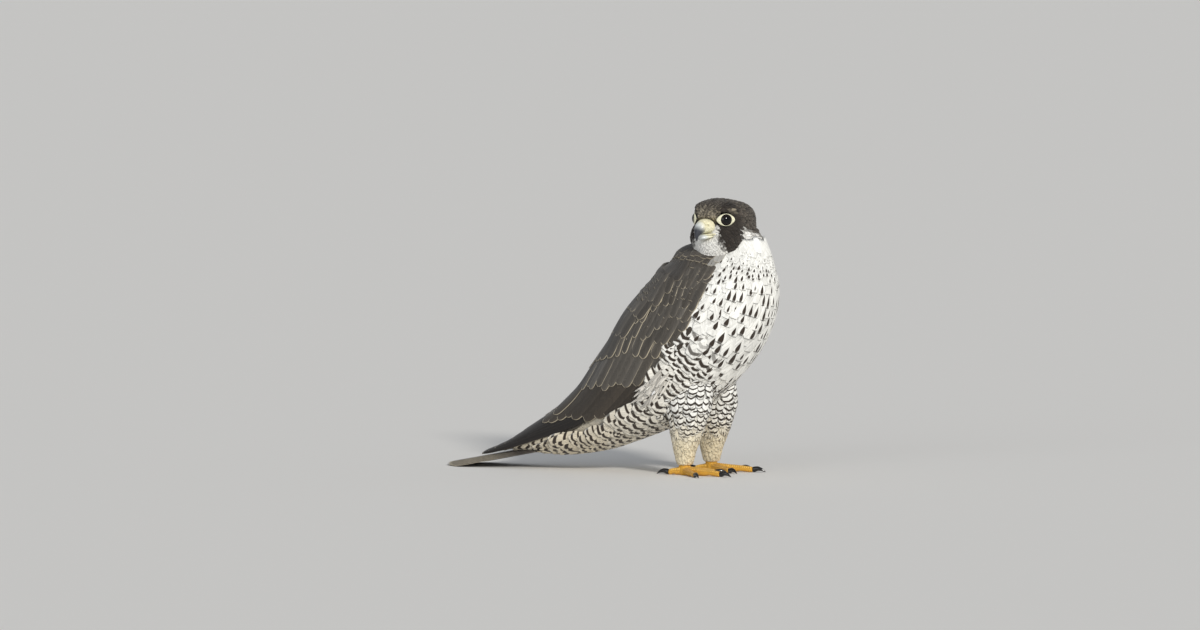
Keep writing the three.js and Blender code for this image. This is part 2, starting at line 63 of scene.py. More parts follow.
BMesh = bmesh.types.BMesh
Mesh = bpy.types.Mesh
Material = bpy.types.Material
Socket = bpy.types.NodeSocket


def smooth(value: Array | float, low: float, high: float) -> Array:
    """A soft step from 0 at low to 1 at high."""
    share = np.clip((np.asarray(value, float) - low) / (high - low), 0, 1)
    return share * share * (3 - 2 * share)


def mix(a: Array | float, b: Array | float, share: Array | float) -> Array:
    """The value a given share of the way from a to b."""
    return a + (b - a) * share


def unit(vectors: Array) -> Array:
    """The vectors at length one."""
    return vectors / np.maximum(np.linalg.norm(vectors, axis=-1, keepdims=True), 1e-9)


def span(low: Sequence[float], high: Sequence[float], share: Array) -> Array:
    """Rows between two rows of numbers, one for each share."""
    return mix(np.array(low, float), np.array(high, float), share[:, None])


def spline(rows: Array, place: Array) -> tuple[Array, Array]:
    """A smooth curve through rows of numbers.

    Args:
        rows: The rows that it passes through.
        place: Where to read it: 0 at the first row, 1 at the second, and so on.

    Returns:
        A row for each place, and the step there from one of the given rows to the next.
    """
    ends = np.vstack([2 * rows[0] - rows[1], rows, 2 * rows[-1] - rows[-2]])
    i = np.minimum(place.astype(int), len(rows) - 2)
    s = (place - i)[:, None]
    a, b, c, d = (ends[i + k] for k in range(4))
    curve = 2 * b + (c - a) * s + (2 * a - 5 * b + 4 * c - d) * s**2 + (3 * b - a - 3 * c + d) * s**3
    return 0.5 * curve, c - b


def kd_tree(points: Array, picks: Array) -> KDTree:
    """A search tree of some points, under their own numbers.

    Args:
        points: All the points.
        picks: The numbers of those that go into the tree.

    Returns:
        The tree.
    """
    tree = KDTree(len(picks))
    for i in picks.tolist():
        tree.insert(points[i], i)
    tree.balance()
    return tree


def rows_of(items: bpy.types.bpy_prop_collection, name: str) -> Array:
    """Three numbers of each item of a mesh.

    Args:
        items: The mesh's points or normals.
        name: What to read of each.

    Returns:
        A row for each item.
    """
    values = np.empty(len(items) * 3)
    items.foreach_get(name, values)
    return values.reshape(-1, 3)


class Hue(Enum):
    """The bird's colours as red, green and blue of the screen, 0 to 255."""

    WHITE = (243, 242, 236)
    CREAM = (226, 213, 186)
    THROAT = (246, 244, 238)
    GREY = (92, 87, 80)
    MANTLE = (78, 73, 67)
    CAP = (70, 64, 58)
    MALAR = (50, 44, 39)
    # SOOT is the dark of drops, bars and quills, and also the painted shade inside the nostrils.
    SOOT = (58, 49, 41)
    PRIMARY = (34, 30, 27)
    SECONDARY = (66, 59, 51)
    TAIL = (88, 80, 70)
    BUFF = (192, 180, 156)
    OLIVE = (142, 128, 78)
    DOWN = (206, 201, 192)
    LEG = (226, 213, 182)
    RING = (240, 236, 206)
    CERE = (238, 231, 196)
    HORN = (214, 218, 216)
    TIP = (58, 60, 66)
    IRIS = (24, 13, 8)
    PUPIL = (6, 5, 5)
    TOE = (232, 172, 58)
    SCUTE = (244, 202, 104)
    # Painted shade in the creases round the toes' plates: a darker copy of the toes' orange.
    CREASE = (150, 98, 34)
    CLAW = (22, 20, 19)
    FLOOR = (232, 230, 226)

    @property
    def rgb(self) -> Array:
        """The colour in linear light."""
        value = np.array(self.value, float) / 255
        return np.where(value < 0.04045, value / 12.92, ((value + 0.055) / 1.055) ** 2.4)

    @property
    def rgba(self) -> tuple[float, ...]:
        """The colour in linear light, with an alpha of one."""
        return (*self.rgb, 1.0)


class Side(Enum):
    """The bird's two sides, with the sign of Y on each."""

    RIGHT = -1
    LEFT = 1

    @property
    def word(self) -> str:
        """The side in the names of pieces and nodes."""
        return self.name.lower()


FOOT_AT = {Side.RIGHT: (97.5, -28.0), Side.LEFT: (103.5, 28.0)}


@dataclass
class Trunk:
    """The smooth outer form of body and folded wings.

    Attributes:
        rows: Stations: x and z of the middle line, depth to back and belly, and half width.
        ahead: How far the body's own zero lies ahead of the origin.
        swing: How far the neck's top lies to the left.
        neck: Length of the neck.
        steps: Cells of the middle line's table.
    """

    rows: tuple[tuple[float, ...], ...] = (
        (5, 262, 31, 30, 24),
        (7, 248, 48, 41, 26),
        (5, 229, 60, 56, 36),
        (-1, 201, 68, 68, 59),
        (-21, 168, 70, 72, 66),
        (-54, 134, 69, 71, 66),
        (-86, 100, 61, 62, 61),
        (-126, 66, 51, 42, 52),
        (-163, 47, 38, 31, 43),
        (-202, 34, 26, 21, 35),
        (-246, 21, 14, 12, 26),
        (-296, 9, 5, 5, 15),
    )
    ahead: float = 127.5
    swing: float = 18
    neck: float = 42
    steps: int = 880

    def __post_init__(self) -> None:
        """Works out the middle line once."""
        rows = np.array(self.rows, float)
        table, _ = spline(rows, np.linspace(0, len(rows) - 1, self.steps + 1))
        step = np.diff(table[:, :2], axis=0)
        self.run = np.concatenate([[0], np.cumsum(np.hypot(*step.T))])
        along = unit(np.gradient(table[:, :2], axis=0))
        self.table = np.hstack([table, along])

    def section(self, distance: Array) -> list[Array]:
        """The stations' five numbers and the run's x and z at a distance."""
        return [np.interp(distance, self.run, column) for column in self.table.T]

    def surface(self, distance: Array, turn: Array, lift: Array | float = 0.0) -> Array:
        """Points of the form.

        Args:
            distance: Down the middle line.
            turn: Round it, in radians.
            lift: Height over the form.

        Returns:
            Points in metres, with their three numbers on the last axis.
        """
        x, z, back, belly, wide, run_x, run_z = self.section(distance)
        y = self.swing * (1 - smooth(distance, 0, 1.3 * self.neck))
        cos, sin = np.cos(turn), np.sin(turn)
        depth = np.where(cos > 0, back, belly)
        up, aside = cos / depth, sin / wide
        size = np.hypot(up, aside)
        out = depth * cos + lift * up / size
        return MM * np.stack(
            [x + self.ahead + out * run_z, y + wide * sin + lift * aside / size, z - out * run_x],
            axis=-1,
        )

    def girth(self, distance: Array, turn: Array) -> Array:
        """Millimetres round the form for each radian there.

        Args:
            distance: Down the middle line.
            turn: Round it, in radians.

        Returns:
            A number for each place.
        """
        _, _, back, belly, wide, _, _ = self.section(distance)
        depth = np.where(np.cos(turn) > 0, back, belly)
        return np.hypot(depth * np.sin(turn), wide * np.cos(turn))

    def flow(self, distance: Array) -> Array:
        """The way down the body at a distance, as unit vectors."""
        *_, run_x, run_z = self.section(distance)
        return np.stack([run_x, np.zeros_like(run_x), run_z], axis=-1)

    def locate(self, points: Array) -> tuple[Array, Array]:
        """The distance and turn of the places of the form nearest to points in metres.

        Args:
            points: Points in metres.

        Returns:
            Two numbers for each point.
        """
        turns = np.radians(np.arange(-180, 180, 5))
        grid = [g.ravel() for g in np.meshgrid(np.arange(0, 410, 5.0), turns)]
        tree = kd_tree(self.surface(grid[0], grid[1], -3.0), np.arange(len(grid[0])))
        found = np.array([tree.find(p)[1] for p in points])
        return grid[0][found], grid[1][found]


@dataclass(frozen=True)
class HeadPlace:
    """Where the head's own frame stands: +X out of the bill, the eyes level with its origin."""

    at: tuple[float, float, float] = (124.9, 0.9, 276.0)
    turn: float = math.radians(-105)

    @property
    def matrix(self) -> Array:
        """Rotation of the head's frame into the bird's."""
        return np.array(Matrix.Rotation(self.turn, 3, "Z"))

    def outward(self, points: Array) -> Array:
        """Points of the head's frame, in the bird's frame in metres."""
        return (np.asarray(points, float) @ self.matrix.T + np.array(self.at)) * MM

    def mirrored(self, side: Side, points: Array) -> Array:
        """Points of the head's left half, put on a side, in the bird's frame in metres."""
        return self.outward(np.asarray(points, float) * (1, side.value, 1))

    def inward(self, points: Array) -> Array:
        """Points in metres, in the head's frame."""
        return (np.asarray(points, float) / MM - np.array(self.at)) @ self.matrix


TRUNK = Trunk()
HEAD = HeadPlace()
HEAD_MIDDLE = (4, 0, 6)


@dataclass(frozen=True)
class Marks:
    """What one feather's pattern holds, each from 0 to 1."""

    tone: Array
    fringe: Array
    drop: Array
    bar: Array

    @classmethod
    def plain(cls, tone: Array, fringe: Array | float) -> "Marks":
        """Markings without drops or bars."""
        n = len(tone)
        return cls(tone, np.broadcast_to(np.clip(fringe, 0, 1), n), np.zeros(n), np.zeros(n))


class Plumage:
    """The bird's markings, the same on its skin and on its feathers."""

    def __init__(self, seed: int) -> None:
        """Starts the random draws of one piece."""
        self.rng = np.random.default_rng(seed)

    def jitter(self, count: int, size: float | Array) -> Array:
        """Random numbers about zero."""
        return self.rng.normal(0, size, count)

    def shade(self, tones: Array, size: float | Array) -> Array:
        """Tones made a little lighter or darker feather by feather."""
        return np.clip(tones * np.exp(self.jitter(len(tones), size))[:, None], 0, 1)

    def trunk(self, distance: Array, turn: Array) -> Marks:
        """The markings of neck, body and rump.

        Args:
            distance: Down the middle line.
            turn: Round it, in radians.

        Returns:
            The markings at each place.
        """
        n = len(distance)
        degrees = np.degrees(turn) + self.jitter(n, 3.5)
        d = distance + self.jitter(n, 2.5)
        right = mix(-72.0, -93.0, smooth(d, -4, 10))
        left = mix(165.0, 93.0, smooth(d, -6, 46))
        dark = smooth(degrees, right - 4, right + 4) * (1 - smooth(degrees, left - 4, left + 4))
        side = np.abs(degrees)
        cream = np.clip(0.6 * smooth(d, 185, 300) + 0.3 * smooth(d, 90, 190), 0, 1)
        pale = mix(Hue.WHITE.rgb, Hue.CREAM.rgb, cream[:, None])
        grey = mix(Hue.MANTLE.rgb, Hue.GREY.rgb, smooth(d, 60, 250)[:, None])
        tone = mix(pale, grey, dark[:, None])
        light = 1 - dark
        flank = smooth(d, 92, 132) * (1 - smooth(side, 134, 156))
        bar = np.maximum(flank, 0.75 * smooth(d, 175, 215))
        drop = smooth(d, 16, 34) * mix(1.05, 1.25, smooth(d, 34, 66))
        drop *= mix(1.0, 0.8, smooth(side, 150, 178)) * light * (1 - bar)
        return Marks(
            tone=self.shade(tone, 0.05),
            fringe=np.clip(0.6 * dark + 0.1 * light + self.jitter(n, 0.1), 0, 1),
            drop=np.clip(drop * (1 + self.jitter(n, 0.2)) * (self.rng.random(n) < 0.8), 0, 1.4),
            bar=np.clip(light * bar * (1 + self.jitter(n, 0.18)), 0, 1),
        )

    def head(self, q: Array) -> Marks:
        """The markings of the head at points of its own frame.

        Args:
            q: Points of its frame.

        Returns:
            The markings at each point.
        """
        n = len(q)
        x, y, z = q.T + self.rng.normal(0, 0.8, (3, n))
        side = np.abs(y)
        below = -z
        back = smooth(-x, 4, 26)
        cap_edge = mix(mix(6.0, 10.5, smooth(-x, -6, 8)), 15.0, back)
        cap = 1 - smooth(below, cap_edge - 1.5, cap_edge + 2.5)
        centre = 12.5 - 0.16 * (below - 10)
        reach = mix(11.5, 5.0, smooth(below, 20, 42))
        malar = 1 - smooth(np.abs(x - centre), reach - 2, reach + 2.5)
        malar *= smooth(side, 11, 17) * (1 - smooth(below, 38, 44))
        nape = smooth(-x, 24, 34) * (1 - smooth(below, 22, 40)) * 0.75
        nape *= 0.55 + 0.45 * np.sin(q[:, 1] * 0.9 + q[:, 2] * 0.5)
        dark = np.clip(np.maximum(np.maximum(cap, malar), nape), 0, 1)
        deep = mix(Hue.CAP.rgb, Hue.MALAR.rgb, np.clip(malar, 0, 1)[:, None])
        tone = mix(Hue.THROAT.rgb, deep, dark[:, None])
        front = smooth(x, 17, 26) * smooth(z, -2, 4) * (1 - smooth(z, 9, 19))
        tone = mix(tone, Hue.BUFF.rgb, (0.85 * front * self.rng.random(n))[:, None])
        lore = smooth(x, 19, 25) * smooth(side, 5, 9) * (1 - smooth(np.abs(z + 1), 3, 7))
        tone = mix(tone, Hue.OLIVE.rgb, (0.7 * lore)[:, None])
        brow = (1 - smooth(np.abs(x - 9), 2, 6)) * (1 - smooth(np.abs(z - 10.5), 0.8, 2.4))
        brow *= smooth(side, 18, 22)
        tone = mix(tone, Hue.BUFF.rgb, (0.35 * brow)[:, None])
        return Marks.plain(self.shade(tone, 0.04 + 0.18 * dark), dark * (1 - malar) * (0.14 + 0.4 * front))

    def leg(self, points: Array) -> Marks:
        """The markings of the feathered legs at points in metres.

        Args:
            points: Points in metres.

        Returns:
            The markings at each point.
        """
        n = len(points)
        height = points[:, 2] / MM + self.jitter(n, 4)
        tone = mix(Hue.LEG.rgb, Hue.WHITE.rgb, smooth(height, 30, 90)[:, None])
        spots = (self.rng.random(n) < 0.35) * mix(0.5, 1.0, smooth(height, 20, 60))
        bars = 0.9 * smooth(height, 50, 62) * mix(0.6, 1.0, self.rng.random(n))
        return Marks(self.shade(tone, 0.05), np.zeros(n), spots * (bars < 0.3), bars)


@dataclass(frozen=True)
class Vane:
    """The pattern that one kind of feather is copied from.

    Its width runs from -1 to 1, its length from 0 at the root to 1 at the tip.
    """

    across: int = 6
    along: int = 6
    root: float = 0.6
    shoulder: float = 0.6
    tip: float = 0.15
    barbs: int = 0
    loose: float = 0.16
    hair: float = 0.045

    def outline(self, b: Array, shoulder: Array | float) -> Array:
        """Share of the full width at a share of the length, rounded off from the shoulder on.

        Args:
            b: Share of the length.
            shoulder: The share at which the tip starts.

        Returns:
            A share of the width for each.
        """
        near = self.root + (1 - self.root) * np.clip(b / 0.3, 0, 1)
        end = np.clip((b - shoulder) / (1 - shoulder), 0, 1)
        return near * mix(self.tip, 1.0, np.sqrt(1 - end**2))

    def cut(self) -> "Pattern":
        """Makes the pattern: a thin lens with loose barbs round its tip.

        Returns:
            The pattern.
        """
        bm = bmesh.new()
        bmesh.ops.create_grid(bm, x_segments=self.across, y_segments=self.along, size=1)
        inner = [v for v in bm.verts if not v.is_boundary]
        for v in bm.verts:
            v.co.x = math.sin(v.co.x * math.pi / 2)
            v.co.y = 1 - 2 * ((1 - v.co.y) / 2) ** 1.5
        copy = bmesh.ops.duplicate(bm, geom=bm.verts[:] + bm.edges[:] + bm.faces[:])["geom"]
        under = [g for g in copy if isinstance(g, bmesh.types.BMFace)]
        low = {v for f in under for v in f.verts if not v.is_boundary}
        bmesh.ops.reverse_faces(bm, faces=under)
        for v in inner:
            v.co.z = 1
        for v in low:
            v.co.z = -1
        bmesh.ops.remove_doubles(bm, verts=bm.verts[:], dist=1e-5)
        for i in range(self.barbs):
            self.barb(bm, (i + 0.5) / self.barbs * 2 - 1)
        bmesh.ops.triangulate(bm, faces=bm.faces[:])
        co = np.array([v.co for v in bm.verts])
        faces = np.array([[v.index for v in f.verts] for f in bm.faces])
        bm.free()
        b = (co[:, 1] + 1) / 2
        return Pattern(u=co[:, 0], b=b, w=co[:, 2], vane=self, faces=faces)

    def barb(self, bm: BMesh, u: float) -> None:
        """Adds one loose barb that leaves the vane's edge near the tip.

        Args:
            bm: The vane.
            u: Where on the edge, from -1 to 1.
        """
        made = bmesh.ops.create_cone(
            bm, cap_ends=False, segments=3, radius1=self.hair, radius2=0.0, depth=1.0
        )["verts"]
        bmesh.ops.remove_doubles(bm, verts=made, dist=1e-5)
        made = [v for v in made if v.is_valid]
        start = Vector((0.85 * math.sin(1.4 * u), 0.78 - 0.5 * abs(u) ** 2.2, 0))
        lean = math.atan2(1.3 * u, 1.0)
        size = 2 * self.loose * (1.0 + 0.35 * math.sin(7.3 * u + 1))
        way = Matrix.Rotation(-lean, 4, "Z") @ Matrix.Rotation(-math.pi / 2, 4, "X")
        bmesh.ops.translate(bm, verts=made, vec=(0, 0, 0.5))
        bmesh.ops.scale(bm, verts=made, vec=(1, 1, size + 0.25))
        bmesh.ops.transform(bm, matrix=Matrix.Translation(start) @ way, verts=made)
        loop = [v for v in made if v.co.y < start.y + 0.1]
        if len(loop) == 3:
            bm.faces.new(loop)


@dataclass(frozen=True)
class Pattern:
    """A vane's points and triangles, ready to be copied."""

    u: Array
    b: Array
    w: Array
    vane: Vane
    faces: Array


@dataclass
class Feathers:
    """Many like feathers: each array has one row for each of them."""

    root: Array
    tip: Array
    half: Array
    marks: Marks
    base: Array
    level: Array
    thick: float = 0.3
    camber: float = 0.5
    roll: float = 0.0
    rise: float = 0.25
    bend: float = 1.0
    shoulder: Array | None = None

    def width(self, cut: Pattern) -> Array:
        """Share of the full width at every point of every feather.

        Args:
            cut: The vane to copy.

        Returns:
            A row for each feather, or one for all.
        """
        if self.shoulder is None:
            return cut.vane.outline(np.minimum(cut.b, 0.93), cut.vane.shoulder)[None]
        end = self.shoulder[:, None]
        return cut.vane.outline(np.minimum(cut.b, mix(end, 1.0, 0.93)), end)

    def lifts(self, cut: Pattern) -> Array:
        """Height of every point of every feather over its form.

        Args:
            cut: The vane to copy.

        Returns:
            Millimetres, in a row for each feather.
        """
        b = np.clip(cut.b, 0, 1)
        share = smooth(b, 0, self.rise) if self.bend == 0 else b**self.bend
        lift = mix(self.base[:, None], self.level[:, None], share)
        return lift + cut.w * self.thick / 2 - self.camber * cut.u**2 + self.roll * cut.u

    def over_trunk(self, cut: Pattern, side: Array | float = 1.0) -> Array:
        """Points of the feathers laid over the trunk's form.

        Args:
            cut: The vane to copy.
            side: Minus one mirrors a feather's own width.

        Returns:
            Points in metres for each feather and point of the pattern.
        """
        distance = mix(self.root[:, :1], self.tip[:, :1], cut.b)
        middle = mix(self.root[:, 1:], self.tip[:, 1:], cut.b)
        across = self.half[:, None] * cut.u * self.width(cut) * side
        turn = middle + across / TRUNK.girth(distance, middle)
        return TRUNK.surface(distance, turn, self.lifts(cut))

    def over_skin(self, cut: Pattern, tree: BVHTree) -> Array:
        """Points of the feathers laid over the skin, whose roots and tips are in metres.

        Args:
            cut: The vane to copy.
            tree: The skin's search tree.

        Returns:
            Points in metres for each feather and point of the pattern.
        """
        run = self.tip - self.root
        _, normal = nearest(tree, self.root)
        aside = unit(np.cross(normal, run))
        across = (self.half[:, None] * MM * cut.u * self.width(cut))[..., None] * aside[:, None]
        flat = self.root[:, None] + run[:, None] * cut.b[None, :, None] + across
        place, out = nearest(tree, flat.reshape(-1, 3))
        lift = self.lifts(cut)[..., None] * MM
        return place.reshape(flat.shape) + out.reshape(flat.shape) * lift


def nearest(tree: BVHTree, points: Array) -> tuple[Array, Array]:
    """The places of a surface nearest to points, and its normals there."""
    found = [tree.find_nearest(p)[:2] for p in points.tolist()]
    return np.array([f[0] for f in found]), np.array([f[1] for f in found])


def search_tree(mesh: Mesh) -> BVHTree:
    """A search tree of a mesh.

    Args:
        mesh: The mesh.

    Returns:
        The tree of its faces.
    """
    bm = bmesh.new()
    bm.from_mesh(mesh)
    tree = BVHTree.FromBMesh(bm)
    bm.free()
    return tree


def show(name: str, mesh: Mesh, finish: Material, slot: str, *nodes: str) -> None:
    """Puts a finished mesh into the scene.

    Args:
        name: The piece's name.
        mesh: Its mesh, in metres.
        finish: Its material.
        slot: The record's material slot; not used.
        nodes: The CAD nodes that it stands for.
    """
    piece = bpy.data.objects.new(name, mesh)
    bpy.context.scene.collection.objects.link(piece)
    mesh.materials.clear()
    mesh.materials.append(finish)
    mesh.shade_smooth()
    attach(piece, "root")
    if nodes:
        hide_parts(*nodes)
    LOG.info("%s: %d faces", name, len(mesh.polygons))


def paint(mesh: Mesh, name: str, values: Array) -> None:
    """Writes a colour of four numbers to each point of a mesh."""
    layer = mesh.attributes.new(name, "FLOAT_COLOR", "POINT")
    layer.data.foreach_set("color", np.ascontiguousarray(values, np.float32).ravel())


def woven(name: str, points: Array, cut: Pattern, feathers: Feathers, unwrap: Array) -> Mesh:
    """One mesh of many feathers.

    Args:
        name: The mesh's name.
        points: Points in metres for each feather.
        cut: The vane that was copied.
        feathers: Their markings.
        unwrap: Each root's place on an unwrap of the form, from 0 to 1.

    Returns:
        The mesh, with its UV maps and its markings as attributes.
    """
    count, size = points.shape[:2]
    corners = (cut.faces[None] + (np.arange(count) * size)[:, None, None]).reshape(-1, 3)
    mesh = bpy.data.meshes.new(name)
    mesh.from_pydata(points.reshape(-1, 3), [], corners)
    across = np.broadcast_to(0.5 + 0.5 * cut.u * feathers.width(cut), (count, size))
    own = np.stack([across, np.broadcast_to(cut.b, (count, size))], axis=-1)
    maps = {
        FEATHER_UV: own,
        BAKE_UV: unwrap[:, None] + (own - 0.5) * BAKE_PATCH,
    }
    for title, place in maps.items():
        layer = mesh.uv_layers.new(name=title)
        layer.uv.foreach_set("vector", place.reshape(-1, 2)[corners.ravel()].astype(np.float32).ravel())
    marks = feathers.marks
    fixed = np.broadcast_to(
        np.column_stack([marks.tone, marks.fringe])[:, None], (count, size, 4)
    )
    paint(mesh, "tone", fixed.reshape(-1, 4))
    seed = (np.arange(count) * 0.6180339) % 1
    rest = np.broadcast_to(np.column_stack([marks.drop, marks.bar, seed])[:, None], (count, size, 3))
    rim = np.broadcast_to(np.abs(cut.u)[None, :, None], (count, size, 1))
    paint(mesh, "mark", np.concatenate([rest, rim], axis=2).reshape(-1, 4))
    return mesh


class Tree:
    """Short words for building a node tree."""

    def __init__(self, tree: bpy.types.NodeTree) -> None:
        """Starts on a tree of a material or of a node group."""
        self.tree = tree

    def node(self, kind: str, *feeds: object, **settings: object) -> bpy.types.Node:
        """Adds a node: feeds go to its inputs in order, and None leaves one alone.

        Args:
            kind: The node's type.
            feeds: Sockets or values for its inputs.
            settings: Its own properties.

        Returns:
            The node.
        """
        made = self.tree.nodes.new(kind)
        for key, value in settings.items():
            setattr(made, key, value)
        for socket, feed in zip(made.inputs, feeds):
            self.feed(socket, feed)
        return made

    def feed(self, socket: Socket, feed: object) -> None:
        """Links a socket to an output, or sets its number or colour.

        Args:
            socket: The input.
            feed: An output, a value or None.
        """
        if isinstance(feed, Socket):
            self.tree.links.new(feed, socket)
        elif feed is not None:
            socket.default_value = feed

    def math(self, kind: str, *feeds: object) -> Socket:
        """A maths node's output."""
        return self.node("ShaderNodeMath", *feeds, operation=kind).outputs[0]

    def step(self, *feeds: object) -> Socket:
        """A soft step of a value between a low and a high one, onto 0 and 1 or two given."""
        return self.node("ShaderNodeMapRange", *feeds, interpolation_type="SMOOTHSTEP").outputs[0]

    def parts(self, vector: Socket) -> Sequence[Socket]:
        """The three numbers of a vector."""
        return self.node("ShaderNodeSeparateXYZ", vector).outputs

    def own_place(self) -> Sequence[Socket]:
        """Place across and along the feather's own vane, each from 0 to 1."""
        return self.parts(self.node("ShaderNodeUVMap", uv_map=FEATHER_UV).outputs[0])

    def attribute(self, name: str) -> Sequence[Socket]:
        """The outputs of a mesh's attribute."""
        return self.node("ShaderNodeAttribute", attribute_name=name).outputs

    def times(self, colour: Socket, light: Socket) -> Socket:
        """A colour made lighter or darker by a number."""
        grey = self.node("ShaderNodeCombineXYZ", light, light, light).outputs[0]
        return self.blend(1.0, colour, grey, "MULTIPLY")

    def blend(self, share: object, a: object, b: object, kind: str = "MIX") -> Socket:
        """A mix of two colours.

        Args:
            share: Share of the second.
            a: The first.
            b: The second.
            kind: The way to mix them.

        Returns:
            The colour's socket.
        """
        made = self.tree.nodes.new("ShaderNodeMix")
        made.data_type = "RGBA"
        made.blend_type = kind
        for socket, feed in zip((made.inputs[0], made.inputs[6], made.inputs[7]), (share, a, b)):
            self.feed(socket, feed)
        return made.outputs[2]

    def noise(self, scale: float, detail: float, vector: object = None) -> Socket:
        """A noise of the object's own place, or of a vector.

        Args:
            scale: Cells in a metre.
            detail: Finer layers.
            vector: Place to read it at, if not the object's own.

        Returns:
            The noise's socket.
        """
        place = vector or self.node("ShaderNodeTexCoord").outputs["Object"]
        made = self.node("ShaderNodeTexNoise")
        self.feed(made.inputs["Vector"], place)
        self.feed(made.inputs["Scale"], scale)
        self.feed(made.inputs["Detail"], detail)
        return made.outputs[0]


class Effect:
    """A node group that several finishes share, built once by name."""

    made: dict[str, bpy.types.NodeTree] = {}

    @classmethod
    def group(
        cls, name: str, inputs: dict[str, float], outputs: Sequence[str], build: Callable
    ) -> bpy.types.NodeTree:
        """The named group, which build fills when it is first asked for.

        Args:
            name: The group's name.
            inputs: Its inputs and their usual values.
            outputs: Its outputs.
            build: Makes its nodes and gives what its outputs get.

        Returns:
            The group.
        """
        if name not in cls.made:
            tree = bpy.data.node_groups.new(name, "ShaderNodeTree")
            add_socket = partial(tree.interface.new_socket, socket_type="NodeSocketFloat")
            for title, value in inputs.items():
                add_socket(name=title, in_out="INPUT").default_value = value
            for title in outputs:
                add_socket(name=title, in_out="OUTPUT")
            words = Tree(tree)
            start, end = words.node("NodeGroupInput"), words.node("NodeGroupOutput")
            for socket, feed in zip(end.inputs, build(words, start.outputs)):
                words.feed(socket, feed)
            cls.made[name] = tree
        return cls.made[name]


def barb_lines(words: Tree, given: Sequence) -> tuple:
    """Fills the group of a vane's barbs: a height, a streak of light and dark, and the shaft.

    Args:
        words: The group's tree.
        given: Its inputs.

    Returns:
        Sockets for the outputs.
    """
    uv = words.own_place()
    seed = words.parts(words.attribute("mark")["Vector"])[2]
    side = words.math("ABSOLUTE", words.math("SUBTRACT", uv[0], 0.5))
    lean = words.math("SUBTRACT", uv[1], words.math("MULTIPLY", side, given["Lean"]))
    turns = words.math("MULTIPLY", given["Barbs"], 2 * math.pi)
    wave = words.math("SINE", words.math("MULTIPLY", lean, turns))
    place = words.node(
        "ShaderNodeCombineXYZ",
        words.math("MULTIPLY", uv[0], 2.5),
        words.math("MULTIPLY", lean, given["Barbs"]),
        words.math("MULTIPLY", seed, 40),
    ).outputs[0]
    streak = words.noise(0.8, 2.0, place)
    shaft = words.math("SUBTRACT", 1, words.step(side, 0.008, given["Shaft"]))
    height = words.math("ADD", words.math("MULTIPLY", wave, 0.35), words.math("MULTIPLY", streak, 1.2))
    height = words.math("ADD", height, words.math("MULTIPLY", shaft, 1.5))
    return height, streak, shaft


def rim_mask(words: Tree, given: Sequence) -> tuple:
    """Fills the group that finds a feather's fringe, along its sides and across its tip.

    Args:
        words: The group's tree.
        given: Its inputs.

    Returns:
        A socket for the output.
    """
    uv = words.own_place()
    rim = words.attribute("mark")["Alpha"]
    ends = [
        words.math("SUBTRACT", 1, words.math("MULTIPLY", given[title], 0.45))
        for title in ("Tip", "Width")
    ]
    along = words.step(uv[1], words.math("SUBTRACT", 1, given["Tip"]), ends[0])
    sides = words.step(rim, words.math("SUBTRACT", 1, given["Width"]), ends[1])
    back = words.step(uv[1], 0.42, 0.74)
    return (words.math("MAXIMUM", along, words.math("MULTIPLY", sides, back)),)


DROP_AT = 0.83
BARS_AT = ((0.84, 0.062), (0.5, 0.05), (0.2, 0.04))
"""Place along a feather of the drop's middle, and place and half length of each bar."""


def dark_marks(words: Tree, given: Sequence) -> tuple:
    """Fills the group of dark drops and bars, in the feather's own place.

    Args:
        words: The group's tree.
        given: Its inputs.

    Returns:
        A socket for the output.
    """
    uv = words.own_place()
    side = words.math("ABSOLUTE", words.math("SUBTRACT", uv[0], 0.5))
    side = words.math("MULTIPLY", side, 2)
    y = words.math("SUBTRACT", uv[1], DROP_AT)
    size = words.math("MAXIMUM", given["Drop"], 0.02)
    long = words.math("MULTIPLY", size, 0.15)
    taper = words.step(words.math("DIVIDE", y, long), -1.3, 0.6, 0.06, 0.27)
    wide = words.math("MULTIPLY", taper, size)
    across = words.math("POWER", words.math("DIVIDE", side, wide), 2)
    along = words.math("DIVIDE", words.math("ABSOLUTE", y), long)
    away = words.math("ADD", across, words.math("POWER", along, 2))
    seen = words.step(given["Drop"], 0.05, 0.12)
    drop = words.math("MULTIPLY", words.step(away, 0.75, 1.2, 1, 0), seen)
    curve = words.math("MULTIPLY", words.math("POWER", side, 1.4), 0.15)
    bars = None
    for place, half in BARS_AT:
        off = words.math("SUBTRACT", words.math("ADD", uv[1], curve), place)
        one = words.step(words.math("ABSOLUTE", off), half * 0.7, half * 1.35, 1, 0)
        bars = one if bars is None else words.math("MAXIMUM", bars, one)
    bars = words.math("MULTIPLY", bars, words.step(given["Bar"], 0.15, 0.5))
    return (words.math("MAXIMUM", drop, bars),)


